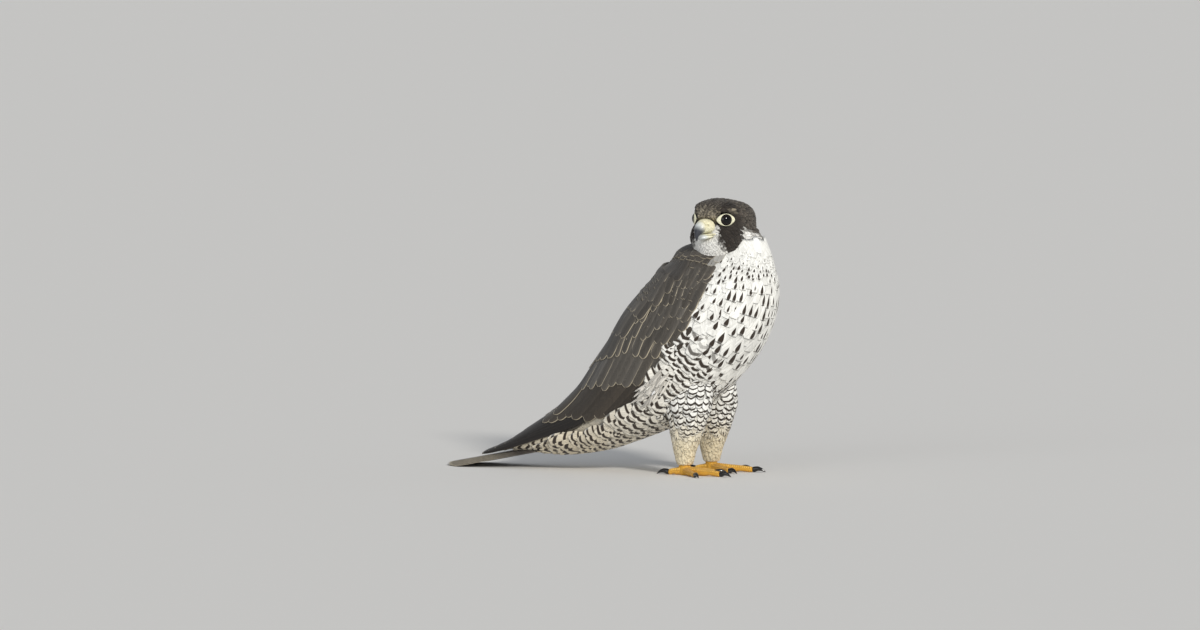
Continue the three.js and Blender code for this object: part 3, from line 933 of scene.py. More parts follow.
@dataclass(frozen=True)
class Coat:
    """The finish of feathers: its markings come from each feather's own attributes."""

    name: str
    fringe: Hue = Hue.BUFF
    dark: Hue = Hue.SOOT
    rim: float = 0.3
    tip: float = 0.1
    barbs: float = 14.0
    lean: float = 0.9
    shaft: float = 0.03
    quill: float = 0.4
    bands: float = 0.0
    core: float = 0.0
    rough: float = 0.62
    relief: float = 0.12

    def material(self) -> Material:
        """Makes the material.

        Returns:
            The material.
        """
        made = bpy.data.materials.new(self.name)
        made.use_nodes = True
        words = Tree(made.node_tree)
        shader = made.node_tree.nodes["Principled BSDF"]
        tone = words.attribute("tone")
        mark = words.attribute("mark")
        parts = words.parts(mark["Vector"])
        lines = {"Barbs": self.barbs, "Lean": self.lean, "Shaft": self.shaft}
        results = ("Height", "Streak", "Quill")
        barbs = words.node("ShaderNodeGroup", *lines.values(), node_tree=Effect.group(
            "barb_lines", lines, results, barb_lines))
        rim = words.node("ShaderNodeGroup", self.rim, self.tip, node_tree=Effect.group(
            "rim_mask", {"Width": 0.3, "Tip": 0.1}, ("Mask",), rim_mask))
        spots = words.node("ShaderNodeGroup", parts[0], parts[1], node_tree=Effect.group(
            "dark_marks", {"Drop": 0.0, "Bar": 0.0}, ("Mask",), dark_marks))
        light = words.step(barbs.outputs["Streak"], 0.25, 0.75, 0.84, 1.16)
        colour = words.times(tone["Color"], light)
        if self.core:
            deep = words.step(mark["Alpha"], 0.25, 0.95, 1 - self.core, 1.1)
            colour = words.times(colour, deep)
        if self.bands:
            along = words.math("MULTIPLY", words.own_place()[1], self.bands * 2 * math.pi)
            band = words.step(words.math("SINE", along), -0.1, 0.5, 0, 0.62)
            colour = words.blend(band, colour, self.dark.rgba)
        quill = words.math("MULTIPLY", barbs.outputs["Quill"], self.quill)
        colour = words.blend(quill, colour, self.dark.rgba)
        colour = words.blend(spots.outputs[0], colour, self.dark.rgba)
        edge = words.math("MULTIPLY", rim.outputs[0], tone["Alpha"])
        colour = words.blend(edge, colour, self.fringe.rgba)
        words.feed(shader.inputs["Base Color"], colour)
        shader.inputs["Roughness"].default_value = self.rough
        shader.inputs["Specular IOR Level"].default_value = 0.25
        shader.inputs["Sheen Weight"].default_value = 0.12
        bump = words.node("ShaderNodeBump", 0.6, self.relief * MM)
        words.feed(bump.inputs["Height"], barbs.outputs["Height"])
        words.feed(shader.inputs["Normal"], bump.outputs[0])
        return made


@dataclass(frozen=True)
class Bare:
    """The finish of bare skin, horn and the ground coat under the feathers."""

    name: str
    main: Hue
    second: Hue
    rough: float = 0.5
    grain: float = 900.0
    relief: float = 0.05
    cells: float = 0.0
    coat: float = 0.0
    gloss: float = 0.4
    painted: bool = False

    def material(self) -> Material:
        """Makes the material: attribute "tone" gives its colour, or only the share of the second hue.

        Returns:
            The material.
        """
        made = bpy.data.materials.new(self.name)
        made.use_nodes = True
        words = Tree(made.node_tree)
        shader = made.node_tree.nodes["Principled BSDF"]
        noise = words.noise(self.grain, 3.0)
        tone = words.attribute("tone")
        if self.painted:
            colour = tone["Color"]
        else:
            colour = words.blend(tone["Alpha"], self.main.rgba, self.second.rgba)
        light = words.step(noise, 0.3, 0.7, 0.86, 1.1)
        colour = words.times(colour, light)
        height = noise
        if self.cells:
            cell = words.node("ShaderNodeTexVoronoi", feature="DISTANCE_TO_EDGE")
            words.feed(cell.inputs["Vector"], words.node("ShaderNodeTexCoord").outputs["Object"])
            cell.inputs["Scale"].default_value = self.cells
            plate = words.step(cell.outputs[0], 0.0, 0.16)
            height = words.math("ADD", words.math("MULTIPLY", plate, 2.0), noise)
            colour = words.blend(words.step(cell.outputs[0], 0.0, 0.09, 0.45, 0), colour, self.second.rgba)
        words.feed(shader.inputs["Base Color"], colour)
        shader.inputs["Roughness"].default_value = self.rough
        shader.inputs["Specular IOR Level"].default_value = self.gloss
        shader.inputs["Coat Weight"].default_value = self.coat
        shader.inputs["Coat Roughness"].default_value = 0.08
        bump = words.node("ShaderNodeBump", 0.7, self.relief * MM)
        words.feed(bump.inputs["Height"], height)
        words.feed(shader.inputs["Normal"], bump.outputs[0])
        return made


@dataclass
class Skin:
    """One closed skin under the feathers of head, neck, body and legs.

    Attributes:
        voxel: Distance between its points.
        depths: How far a node of flesh is drawn in under its coat.
        leg_rows: Sections of a leg: x on from its own, share of its y, z, half width and length.
        leg_depth: How far a leg is drawn in.
        trunk_depth: How far the trunk is drawn in.
        tail_end: Where the skin ends, down the trunk's middle line.
    """

    voxel: float = 1.6
    depths: tuple[tuple[str, float], ...] = (("head", 1.3), ("neck", 2.6))
    leg_rows: tuple[tuple[float, ...], ...] = (
        (0, 0.5, 124, 9, 14),
        (5, 0.9, 100, 18, 26),
        (5, 1, 73, 19, 27),
        (2, 1, 47, 15.5, 21),
        (0, 1, 27, 12.0, 15.0),
        (0, 1, 11, 9.5, 11.0),
    )
    leg_depth: float = 2.0
    trunk_depth: float = 4.6
    tail_end: float = 318.0

    def __post_init__(self) -> None:
        """Builds the skin's mesh and its search trees."""
        bm = bmesh.new()
        self.loft(bm)
        for node, depth in self.depths:
            self.shrunk(bm, node, depth)
        for side in Side:
            self.leg(bm, *FOOT_AT[side])
        self.mesh = remeshed("skin", bm, self.voxel, 8)
        self.tree = search_tree(self.mesh)
        self.points = rows_of(self.mesh.vertices, "co")
        self.normals = rows_of(self.mesh.vertex_normals, "vector")
        self.distance, self.turn = TRUNK.locate(self.points)
        form = TRUNK.surface(self.distance, self.turn)
        out = unit(TRUNK.surface(self.distance, self.turn, 1.0) - form)
        self.kd = kd_tree(self.points, np.arange(len(self.points)))
        self.height = np.sum((self.points - form) * out, axis=1) / MM

    def loft(self, bm: BMesh) -> None:
        """Adds the trunk as a tube under its form, closed at both ends.

        Args:
            bm: What it is added to.
        """
        tube = bmesh.new()
        bmesh.ops.create_grid(tube, x_segments=60, y_segments=90, size=1)
        co = np.array([v.co for v in tube.verts])
        distance = mix(4.0, self.tail_end, (co[:, 1] + 1) / 2)
        depth = self.trunk_depth + 3 * smooth(distance, 240, self.tail_end)
        for v, place in zip(tube.verts, TRUNK.surface(distance, co[:, 0] * math.pi, -depth)):
            v.co = place
        bmesh.ops.remove_doubles(tube, verts=tube.verts[:], dist=1e-6)
        bmesh.ops.holes_fill(tube, edges=[e for e in tube.edges if e.is_boundary], sides=0)
        bmesh.ops.recalc_face_normals(tube, faces=tube.faces[:])
        add(bm, tube)

    def leg(self, bm: BMesh, x: float, y: float) -> None:
        """Adds a leg as a closed tube of level oval sections, from inside the body to the foot.

        Args:
            bm: What it is added to.
            x: The foot's x.
            y: The foot's y.
        """
        part, at = loop_grid(28, 40)
        rows = np.array(self.leg_rows, float)
        place = at[:, 1] * (len(rows) - 1)
        shift, share, z, wide, long = (np.interp(place, range(len(rows)), column) for column in rows.T)
        turn = at[:, 0] * 2 * math.pi
        across = (wide - self.leg_depth) * np.sin(turn)
        ahead = x + shift + (long - self.leg_depth) * np.cos(turn)
        points = np.stack([ahead, y * share + across, z], axis=1)
        mesh = bent("leg", part, points * MM)
        bm.from_mesh(mesh)
        bpy.data.meshes.remove(mesh)

    def shrunk(self, bm: BMesh, node: str, depth: float) -> None:
        """Adds a node of flesh, drawn in by the depth of its coat.

        Args:
            bm: What it is added to.
            node: The CAD node.
            depth: How far it is drawn in.
        """
        part = bmesh.new()
        part.from_mesh(frame["nodes"][node].data)
        bmesh.ops.remove_doubles(part, verts=part.verts[:], dist=1e-6)
        part.normal_update()
        for v in part.verts:
            v.co -= v.normal * depth * MM
        add(bm, part)

    def tones(self) -> Array:
        """The plumage's colour at each point of the skin, darkened by a fifth as painted shade in the gaps
        between the feathers.

        Returns:
            Four numbers for each point.
        """
        plumage = Plumage(3)
        q = HEAD.inward(self.points)
        distance, turn = self.distance, self.turn
        tone = plumage.trunk(distance, turn).tone
        of_head = 1 - smooth(np.linalg.norm(q + HEAD_MIDDLE, axis=1), 40, 48)
        tone = mix(tone, plumage.head(q).tone, of_head[:, None])
        wing = smooth(distance, 48, 60) * (1 - smooth(np.abs(np.degrees(turn)), 90, 100))
        of_leg = smooth(self.height, -2, 1) * (self.points[:, 2] < 0.135)
        tone = mix(tone, Hue.MANTLE.rgb, (wing * (1 - of_leg))[:, None])
        leg = mix(Hue.LEG.rgb, Hue.WHITE.rgb, smooth(self.points[:, 2], 0.05, 0.08)[:, None])
        tone = mix(tone, leg, of_leg[:, None])
        # Painted shade: the whole ground coat is a fifth darker than the plumage, for the shade seen
        # between the feathers.
        return np.column_stack([tone * 0.8, np.ones(len(tone))])

    def build(self) -> None:
        """Dresses the skin and shows it in place of the nodes of flesh."""
        paint(self.mesh, "tone", self.tones())
        finish = Bare("ground_coat", Hue.WHITE, Hue.CREAM, rough=0.9, painted=True).material()
        nodes = ("head", "neck", "torso", "leg_left", "leg_right")
        show("skin", self.mesh, finish, "pale_plumage", *nodes)

    def scatter(self, inside: Array, spacing: Array, seed: int) -> Array:
        """Points of the skin picked so that no two are nearer than their spacing.

        Args:
            inside: Which of the skin's points may be picked.
            spacing: Millimetres between picks, for each of the skin's points.
            seed: Of the random order.

        Returns:
            The numbers of the picked points.
        """
        order = np.random.default_rng(seed).permutation(np.flatnonzero(inside))
        tree = kd_tree(self.points, order)
        taken, picks = set(), []
        for i in order:
            if i in taken:
                continue
            picks.append(i)
            taken.update(found[1] for found in tree.find_range(self.points[i], spacing[i] * MM))
        return np.array(picks)


def add(bm: BMesh, part: BMesh) -> None:
    """Adds one bmesh to another, and frees it.

    Args:
        bm: The one that grows.
        part: The other.
    """
    mesh = bpy.data.meshes.new("part")
    part.to_mesh(mesh)
    part.free()
    bm.from_mesh(mesh)
    bpy.data.meshes.remove(mesh)


def remeshed(name: str, bm: BMesh, voxel: float, rounds: int) -> Mesh:
    """A bmesh as one even, smoothed surface.

    Args:
        name: The new mesh's name.
        bm: What to cover; it is freed.
        voxel: Millimetres between the new points.
        rounds: How often the surface is smoothed.

    Returns:
        The new mesh.
    """
    rough = bpy.data.meshes.new(name + "_rough")
    bm.to_mesh(rough)
    bm.free()
    holder = bpy.data.objects.new(name + "_rough", rough)
    bpy.context.scene.collection.objects.link(holder)
    modifier = holder.modifiers.new("even", "REMESH")
    modifier.mode = "VOXEL"
    modifier.voxel_size = voxel * MM
    graph = bpy.context.evaluated_depsgraph_get()
    mesh = bpy.data.meshes.new_from_object(holder.evaluated_get(graph))
    mesh.name = name
    bpy.data.objects.remove(holder)
    bpy.data.meshes.remove(rough)
    fine = bmesh.new()
    fine.from_mesh(mesh)
    for _ in range(rounds):
        bmesh.ops.smooth_vert(
            fine, verts=fine.verts[:], factor=0.5, use_axis_x=True, use_axis_y=True, use_axis_z=True
        )
    fine.to_mesh(mesh)
    fine.free()
    return mesh


@dataclass(frozen=True)
class Field:
    """A field of body feathers in staggered rows over the trunk."""

    name: str
    start: float
    end: float
    low: Curve
    high: Curve
    pitch: Curve
    finish: Coat
    seed: int
    vane: Vane = Vane(across=6, along=8, barbs=13)
    long: float = 2.6
    wide: float = 0.84
    base: float = -1.1
    level: float = -0.1
    thick: float = 0.12
    stray: float = 0.16
    sink: float = 0.0
    sway: float = 0.13
    slot: str = "pale_plumage"
    hue: Hue | None = None

    def roots(self) -> tuple[Array, Array, Array]:
        """Distance, turn and pitch of every root.

        Returns:
            Three numbers for each feather.
        """
        found = []
        distance, row = self.start, 0
        while distance < self.end:
            pitch = self.pitch(distance)
            turns = np.radians(np.linspace(self.low(distance), self.high(distance), 90))
            girth = TRUNK.girth(np.full(90, distance), turns)
            run = np.concatenate([[0], np.cumsum(np.diff(turns) * (girth[1:] + girth[:-1]) / 2)])
            at = np.arange(0.5 * (row % 2) * pitch, run[-1], pitch)
            found += [(distance, turn, pitch) for turn in np.interp(at, run, turns)]
            distance += 0.84 * pitch
            row += 1
        return tuple(np.array(found).T)

    def marks(self, plumage: Plumage, distance: Array, turn: Array) -> Marks:
        """The feathers' markings, or one hue with a little shade.

        Args:
            plumage: The piece's random draws.
            distance: Down the middle line.
            turn: Round it, in radians.

        Returns:
            The markings.
        """
        if self.hue is None:
            return plumage.trunk(distance, turn)
        return Marks.plain(plumage.shade(np.tile(self.hue.rgb, (len(turn), 1)), 0.28), 0.4)

    def build(self) -> None:
        """Lays the feathers and shows them."""
        plumage = Plumage(self.seed)
        distance, turn, pitch = self.roots()
        n = len(distance)
        distance = distance + plumage.jitter(n, self.stray) * pitch
        turn = turn + plumage.jitter(n, 0.8 * self.stray) * pitch / TRUNK.girth(distance, turn)
        length = self.long * pitch * (1 + plumage.jitter(n, 0.08))
        sway = plumage.jitter(n, self.sway) * pitch / TRUNK.girth(distance + length, turn)
        sunk = self.sink * smooth(distance, 278, 326)
        feathers = Feathers(
            root=np.column_stack([distance, turn]),
            tip=np.column_stack([distance + length, turn + sway]),
            half=self.wide * pitch * (1 + plumage.jitter(n, 0.05)),
            marks=self.marks(plumage, distance + 0.75 * length, turn),
            base=self.base - sunk,
            level=self.level - 1.4 * sunk + plumage.jitter(n, 0.12),
            camber=0.04 * float(pitch.mean()),
            thick=self.thick,
            bend=0.8,
        )
        cut = self.vane.cut()
        points = feathers.over_trunk(cut, plumage.rng.choice([-1.0, 1.0], (n, 1)))
        unwrap = np.column_stack([distance / 430, turn / (2 * math.pi) + 0.5])
        mesh = woven(self.name, points, cut, feathers, unwrap)
        show(self.name, mesh, self.finish.material(), self.slot)


@dataclass(frozen=True)
class Tier:
    """A row of wing feathers, each from a root to a tip, given at its low and its high end."""

    name: str
    count: int
    half: float
    level: float
    low: tuple[float, float, float, float]
    high: tuple[float, float, float, float]
    hue: Hue = Hue.GREY
    fringe: float = 1.0
    spread: float = 0.06


@dataclass(frozen=True)
class Layer:
    """One layer of a wing: its tiers, the vane that they are copied from, and their finish."""

    name: str
    vane: Vane
    finish: Coat
    tiers: tuple[Tier, ...]


@dataclass
class Wing:
    """One folded wing: flight feathers, coverts in tiers and scapulars over them."""

    side: Side
    flight: Layer = Layer(
        "flight",
        Vane(across=8, along=20, root=0.5, shoulder=0.8, tip=0.02),
        Coat(
            "flight_feathers", rim=0.14, tip=0.014, barbs=60, lean=0.25, shaft=0.02, core=0.2,
            rough=0.5, relief=0.08,
        ),
        (
            Tier(
                "primaries", 8, 7.6, -2.6, (205, 90, 409, 66), (215, 40, 348, 28),
                Hue.PRIMARY, 0.45, 0.05,
            ),
            Tier(
                "secondaries", 10, 8.8, -1.7, (148, 101, 232, 108), (205, 28, 322, 46),
                Hue.SECONDARY, 0.9,
            ),
            Tier("tertials", 4, 11.5, -0.9, (180, 26, 306, 42), (190, 10, 286, 16), Hue.SECONDARY, 0.9),
            Tier(
                "primary_coverts", 5, 5.4, -1.3, (120, 102, 172, 112), (118, 95, 188, 106),
                Hue.SECONDARY, 0.6,
            ),
            Tier("alula", 3, 5.4, -0.5, (84, 101, 140, 110), (82, 94, 128, 104), Hue.SECONDARY, 0.6),
            Tier("greater_coverts", 10, 7.0, -0.9, (110, 94, 182, 104), (170, 20, 254, 45)),
        ),
    )
    coverts: Layer = Layer(
        "coverts",
        Vane(across=8, along=14, root=0.55, shoulder=0.6, tip=0.02, barbs=9, loose=0.03),
        Coat("covert_feathers", rim=0.2, tip=0.03, barbs=26, lean=0.5, core=0.3, rough=0.55),
        (
            Tier("median_coverts", 8, 6.6, -0.3, (94, 92, 143, 101), (142, 22, 199, 44)),
            Tier("lesser_4", 9, 5.9, -0.1, (82, 92, 124, 98), (122, 26, 171, 46)),
            Tier("lesser_3", 8, 6.3, 0.05, (71, 90, 108, 95), (106, 30, 149, 49)),
            Tier("lesser_2", 9, 5.8, 0.2, (61, 91, 95, 94), (91, 30, 130, 46)),
            Tier("lesser_1", 8, 6.0, 0.35, (52, 89, 82, 92), (76, 34, 112, 49)),
            Tier("marginal_3", 9, 5.3, 0.45, (45, 90, 71, 92), (64, 34, 96, 46)),
            Tier("marginal_2", 9, 5.0, 0.5, (38, 88, 60, 90), (52, 37, 80, 48)),
            Tier("marginal_1", 9, 4.8, 0.55, (31, 89, 50, 90), (42, 38, 66, 46)),
        ),
    )
    scapulars: Layer = Layer(
        "scapulars",
        Vane(across=8, along=14, root=0.55, shoulder=0.55, tip=0.02, barbs=9, loose=0.03),
        Coat("scapular_feathers", rim=0.13, tip=0.02, barbs=30, lean=0.5, core=0.3, rough=0.55),
        (
            Tier("scapulars_5", 4, 10, 0.1, (126, 40, 196, 50), (138, 16, 232, 18)),
            Tier("scapulars_4", 4, 9.6, 0.4, (102, 44, 164, 53), (112, 16, 184, 18)),
            Tier("scapulars_3", 5, 8.8, 0.7, (82, 46, 136, 56), (90, 18, 150, 22)),
            Tier("scapulars_2", 5, 8.2, 0.9, (62, 50, 110, 58), (70, 20, 120, 24)),
            Tier("scapulars_1", 5, 7.6, 1.0, (44, 52, 86, 60), (52, 22, 96, 24)),
            Tier("scapulars_0", 6, 6.8, 1.1, (30, 54, 64, 62), (36, 24, 74, 26), Hue.MANTLE, 0.4),
        ),
    )

    def __post_init__(self) -> None:
        """Starts the wing's random draws."""
        self.plumage = Plumage(40 + self.side.value)

    def feathers(self, tiers: Sequence[Tier]) -> Feathers:
        """The feathers of several tiers together.

        Args:
            tiers: The tiers.

        Returns:
            The feathers, without their points.
        """
        rows = []
        for tier in tiers:
            share = np.linspace(0, 1, tier.count)
            place = span(tier.low, tier.high, share)
            size = place[:, 2] - place[:, 0]
            place[:, 2] += self.plumage.jitter(tier.count, tier.spread * 0.5) * size
            place[:, 1::2] += self.plumage.jitter(tier.count, 0.9)[:, None]
            place[:, 3] += self.plumage.jitter(tier.count, 1.0)
            lift = np.full(tier.count, tier.level) + self.plumage.jitter(tier.count, 0.08)
            tone = np.tile(tier.hue.rgb, (tier.count, 1))
            half = tier.half * (1 + self.plumage.jitter(tier.count, 0.05))
            rows.append((place, half, lift, tone, np.full(tier.count, tier.fringe)))
        place, half, lift, tone, fringe = (np.concatenate(column) for column in zip(*rows))
        place[:, 1::2] = np.radians(place[:, 1::2]) * self.side.value
        n = len(place)
        length = np.hypot(place[:, 2] - place[:, 0], (place[:, 3] - place[:, 1]) * 50)
        brown = 1 + self.plumage.jitter(n, 0.015)[:, None] * np.array([1, 0.2, -1])
        tone = self.plumage.shade(tone * brown, 0.12)
        marks = Marks.plain(tone, fringe * (1 + self.plumage.jitter(n, 0.15)))
        return Feathers(
            root=place[:, :2], tip=place[:, 2:], half=half, marks=marks, base=lift - 2.2, level=lift,
            camber=0.6, roll=0.2, rise=0.3, bend=0.0, thick=0.3, shoulder=1 - 1.2 * half / length,
        )

    def build(self) -> None:
        """Builds the wing's three layers."""
        for layer in (self.flight, self.coverts, self.scapulars):
            cut = layer.vane.cut()
            feathers = self.feathers(layer.tiers)
            points = feathers.over_trunk(cut, self.side.value)
            unwrap = feathers.root / (430, 2 * math.pi) + (0, 0.5)
            name = f"wing_{self.side.word}_{layer.name}"
            nodes = [f"wing_{self.side.word}"] if layer is self.flight else []
            mesh = woven(name, points, cut, feathers, unwrap)
            show(name, mesh, layer.finish.material(), "wing_plumage", *nodes)


@dataclass(frozen=True)
class Tail:
    """Twelve tail feathers in one plane, folded over each other, with the tip on the floor.

    Attributes:
        root: x and z of the roots, from the body's own zero.
        tip: x and z of the tips.
        half: Half width of a feather.
        pairs: Feathers on each side.
        fan: Degrees from the middle pair to the outer one.
        step: Height from one feather to the next.
        vane: The vane to copy.
        finish: The feathers' finish.
    """

    root: tuple[float, float] = (-160, 33)
    tip: tuple[float, float] = (-320, 1.6)
    half: float = 13
    pairs: int = 6
    fan: float = 5
    step: float = 0.5
    vane: Vane = Vane(across=8, along=16, root=0.62, shoulder=0.86, tip=0.35)
    finish: Coat = Coat(
        "tail_feathers", fringe=Hue.CREAM, rim=0.1, tip=0.035, barbs=70, lean=0.25, shaft=0.02,
        bands=7, rough=0.55,
    )

    def build(self) -> None:
        """Lays the tail feathers from the outer pair to the middle one."""
        plumage = Plumage(71)
        cut = self.vane.cut()
        order = [(i, side.value) for i in range(self.pairs) for side in Side]
        index = np.array([i for i, _ in order], float)[:, None]
        side = np.array([s for _, s in order], float)[:, None]
        (x0, z0), (x1, z1) = self.root, self.tip
        fall = math.atan2(z1 - z0, x1 - x0)
        length = math.hypot(x1 - x0, z1 - z0) - 0.5 * index**2
        fan = np.radians(side * (1 + self.fan * index / (self.pairs - 1)))
        along = length * cut.b
        outline = self.vane.outline(np.minimum(cut.b, 0.99), self.vane.shoulder)
        width = self.half * outline * (0.8 + 0.2 * cut.b)
        y = np.sin(fan) * along + side * (2.5 + index * 1.1) + cut.u * width
        drop = self.step * mix(1.0, 0.5, cut.b) * (2 * index + (side + 1) / 2)
        lift = 1.7 - y**2 / 320 - drop + 0.18 * cut.w
        run = along * np.cos(fan)
        x = x0 + TRUNK.ahead + run * math.cos(fall) + lift * math.sin(fall)
        z = np.maximum(z0 + run * math.sin(fall) - lift * math.cos(fall), 0.1)
        n = len(order)
        marks = Marks.plain(plumage.shade(np.tile(Hue.TAIL.rgb, (n, 1)), 0.06), 0.7)
        places, heights = np.zeros((n, 2)), np.zeros(n)
        feathers = Feathers(places, places, heights, marks, heights, heights)
        points = MM * np.stack([x, y, z], axis=-1)
        unwrap = np.column_stack([np.full(n, 0.5), np.linspace(0.1, 0.9, n)])
        mesh = woven("tail_feathers", points, cut, feathers, unwrap)
        show("tail_feathers", mesh, self.finish.material(), "tail_plumage", "tail")


@dataclass(frozen=True)
class Down:
    """Small feathers scattered over the skin.

    Attributes:
        name: The piece's name.
        seed: Of its random draws.
        finish: Its finish.
        vane: The vane to copy.
        long: Length over spacing.
        wide: Half width over spacing.
        level: Height of the tips over the skin.
        slot: The record's material slot.
        over: Least height over the form of the trunk.
    """

    name: str
    seed: int
    finish: Coat
    vane: Vane
    long: float
    wide: float
    level: float
    slot: str
    over: float = -60.0

    def lay(
        self, skin: Skin, picks: Array, spacing: Array, way: Array, marks: Marks, unwrap: Array
    ) -> None:
        """Lays the feathers.

        Args:
            skin: What they lie on.
            picks: The numbers of the skin's points at their roots.
            spacing: Millimetres between them.
            way: Where each points.
            marks: Their markings.
            unwrap: Each root's place on an unwrap of the skin.
        """
        plumage = Plumage(self.seed)
        normal = skin.normals[picks]
        n = len(picks)
        way = way + plumage.rng.normal(0, 0.11, (n, 3))
        way = unit(way - normal * np.sum(way * normal, axis=1, keepdims=True))
        length = spacing * self.long * (1 + plumage.jitter(n, 0.1))
        root = skin.points[picks]
        tip = root + way * length[:, None] * MM
        sunk = np.array([skin.height[skin.kd.find(p)[1]] for p in tip.tolist()])
        level = self.level * (0.35 + 0.65 * spacing / spacing.max()) * (1 + plumage.jitter(n, 0.16))
        feathers = Feathers(
            root=root,
            tip=tip,
            half=spacing * self.wide,
            marks=marks,
            base=np.maximum(-0.2, self.over - skin.height[picks]),
            level=np.maximum(level, self.over + 0.4 - sunk),
            camber=0.1,
            thick=0.12,
            bend=0.9,
        )
        cut = self.vane.cut()
        mesh = woven(self.name, feathers.over_skin(cut, skin.tree), cut, feathers, unwrap)
        show(self.name, mesh, self.finish.material(), self.slot)


@dataclass
class HeadCoat:
    """The small feathers of head and upper neck, laid back from the bill over the skin.

    Attributes:
        skin: What they lie on.
        vane: The vane to copy.
        finish: Their finish.
        size: How far the coat reaches from the head's middle.
        lowest: Height in metres at which it ends on the neck.
        parting: Height in the head's frame of the line between its two pieces.
    """

    skin: Skin
    vane: Vane = Vane(
        across=4, along=4, root=0.5, shoulder=0.45, tip=0.15, barbs=5, loose=0.14, hair=0.07
    )
    finish: Coat = Coat(
        "head_feathers", rim=0.5, tip=0.3, barbs=8, shaft=0.05, quill=0.08, rough=0.8, relief=0.06
    )
    size: float = 61
    lowest: float = 0.205
    parting: float = -9

    def __post_init__(self) -> None:
        """Puts the skin's points in the head's frame."""
        self.q = HEAD.inward(self.skin.points)
        self.away = np.linalg.norm(self.q + HEAD_MIDDLE, axis=1)

    def bare(self) -> Array:
        """Which points lie under an eye's lids, the cere or the bill.

        Returns:
            A true or false for each of the skin's points.
        """
        x, y, z = self.q.T
        side = np.abs(y)
        eye = np.hypot((x - 13.4) / 9.8, (z - 0.4) / 7.2) < 1
        bill = (x > 19.5) & (side < 11.5) & (z < 2.4) & (z > -19.5)
        return (eye & (side > 12)) | bill

    def build(self) -> None:
        """Lays the coat in two pieces, upper and lower."""
        x = self.q[:, 0]
        inside = (self.away < self.size) & (self.skin.points[:, 2] > self.lowest) & ~self.bare()
        spacing = mix(mix(3.1, 1.5, smooth(x, 2, 24)), 3.8, smooth(self.away, 40, 58))
        picks = self.skin.scatter(inside, spacing, 12)
        upper = self.q[picks][:, 2] > self.parting
        for name, chosen in (("head_upper", picks[upper]), ("head_lower", picks[~upper])):
            self.lay(name, chosen, spacing[chosen])

    def lay(self, name: str, picks: Array, spacing: Array) -> None:
        """Lays one piece of the coat.

        Args:
            name: The piece's name.
            picks: The numbers of the skin's points at the roots.
            spacing: Millimetres between them.
        """
        plumage = Plumage(100)
        q = self.q[picks]
        x, y, z = q.T
        drop = -0.25 - 0.9 * smooth(-z, 2, 30)
        back = np.stack([-np.ones_like(x), 0.25 * np.sign(y), drop], axis=-1)
        distance, turn = self.skin.distance[picks], self.skin.turn[picks]
        of_neck = smooth(self.away[picks], 38, 56)
        way = mix(unit(back) @ HEAD.matrix.T, TRUNK.flow(distance), of_neck[:, None])
        of_head, of_trunk = plumage.head(q), plumage.trunk(distance, turn)
        share = smooth(self.away[picks], 42, 50)
        marks = Marks(
            tone=mix(of_head.tone, of_trunk.tone, share[:, None]),
            fringe=mix(of_head.fringe, of_trunk.fringe, share),
            drop=mix(of_head.drop, of_trunk.drop, share) * 0.8,
            bar=np.zeros(len(q)),
        )
        unwrap = np.column_stack([np.arctan2(y, x) / (2 * math.pi) + 0.5, (z + 60) / 100])
        down = Down(name, 10, self.finish, self.vane, 2.7, 0.62, 0.75, "head_plumage")
        down.lay(self.skin, picks, spacing, way, marks, unwrap)


@dataclass(frozen=True)
class LegCoat:
    """The feathers of the thighs and legs, hanging down to the feet.

    Attributes:
        vane: The vane to copy.
        finish: Their finish.
        seeds: Of each side's random draws.
        top: Height at which the coat ends in the flank.
        foot: Height at which it ends over the foot.
        front: x in metres behind which there is none.
    """

    vane: Vane = Vane(
        across=4, along=6, root=0.7, shoulder=0.5, tip=0.08, barbs=9, loose=0.16, hair=0.05
    )
    finish: Coat = Coat(
        "leg_feathers", fringe=Hue.WHITE, rim=0.3, tip=0.1, barbs=10, quill=0.05, rough=0.75,
        relief=0.06,
    )
    seeds: tuple[tuple[Side, int], ...] = ((Side.RIGHT, 18), (Side.LEFT, 17))
    top: float = 124
    foot: float = 12.5
    front: float = 0.06

    def build(self, skin: Skin) -> None:
        """Lays the coat of each leg.

        Args:
            skin: What it lies on.
        """
        z = skin.points[:, 2] / MM
        out = (skin.height > -1.0) & (z < self.top) & (z > self.foot)
        out &= skin.points[:, 0] > self.front
        rim = kd_tree(skin.points, np.flatnonzero(out))
        found = [rim.find(p) for p in skin.points.tolist()]
        above = np.array([f[2] for f in found]) < 0.013
        out = out | (above & (z < 130) & (z > 40))
        target = np.array([f[0] for f in found]) + (-0.001, 0, -0.011)
        spacing = mix(2.3, 6.4, smooth(z, 28, 76))
        for side, seed in self.seeds:
            sign, apart = side.value, FOOT_AT[side][1] * MM
            picks = skin.scatter(out & (skin.points[:, 1] * sign > 0), spacing, 30 + sign)
            root = skin.points[picks]
            down = np.tile([-0.12, 0.0, -1.0], (len(picks), 1))
            hung = unit(target[picks] - root)
            way = mix(hung, down, smooth(skin.height[picks], -1, 3)[:, None])
            marks = Plumage(34 + sign).leg(root)
            around = np.arctan2(root[:, 1] - apart, root[:, 0] - 0.1) / (2 * math.pi) + 0.5
            unwrap = np.column_stack([0.5 * around + 0.25 * (1 + sign), root[:, 2] / 0.14])
            name = f"leg_{side.word}_feathers"
            piece = Down(name, seed, self.finish, self.vane, 3.0, 0.74, 0.9, "pale_plumage", 0.1)
            piece.lay(skin, picks, spacing[picks], way, marks, unwrap)


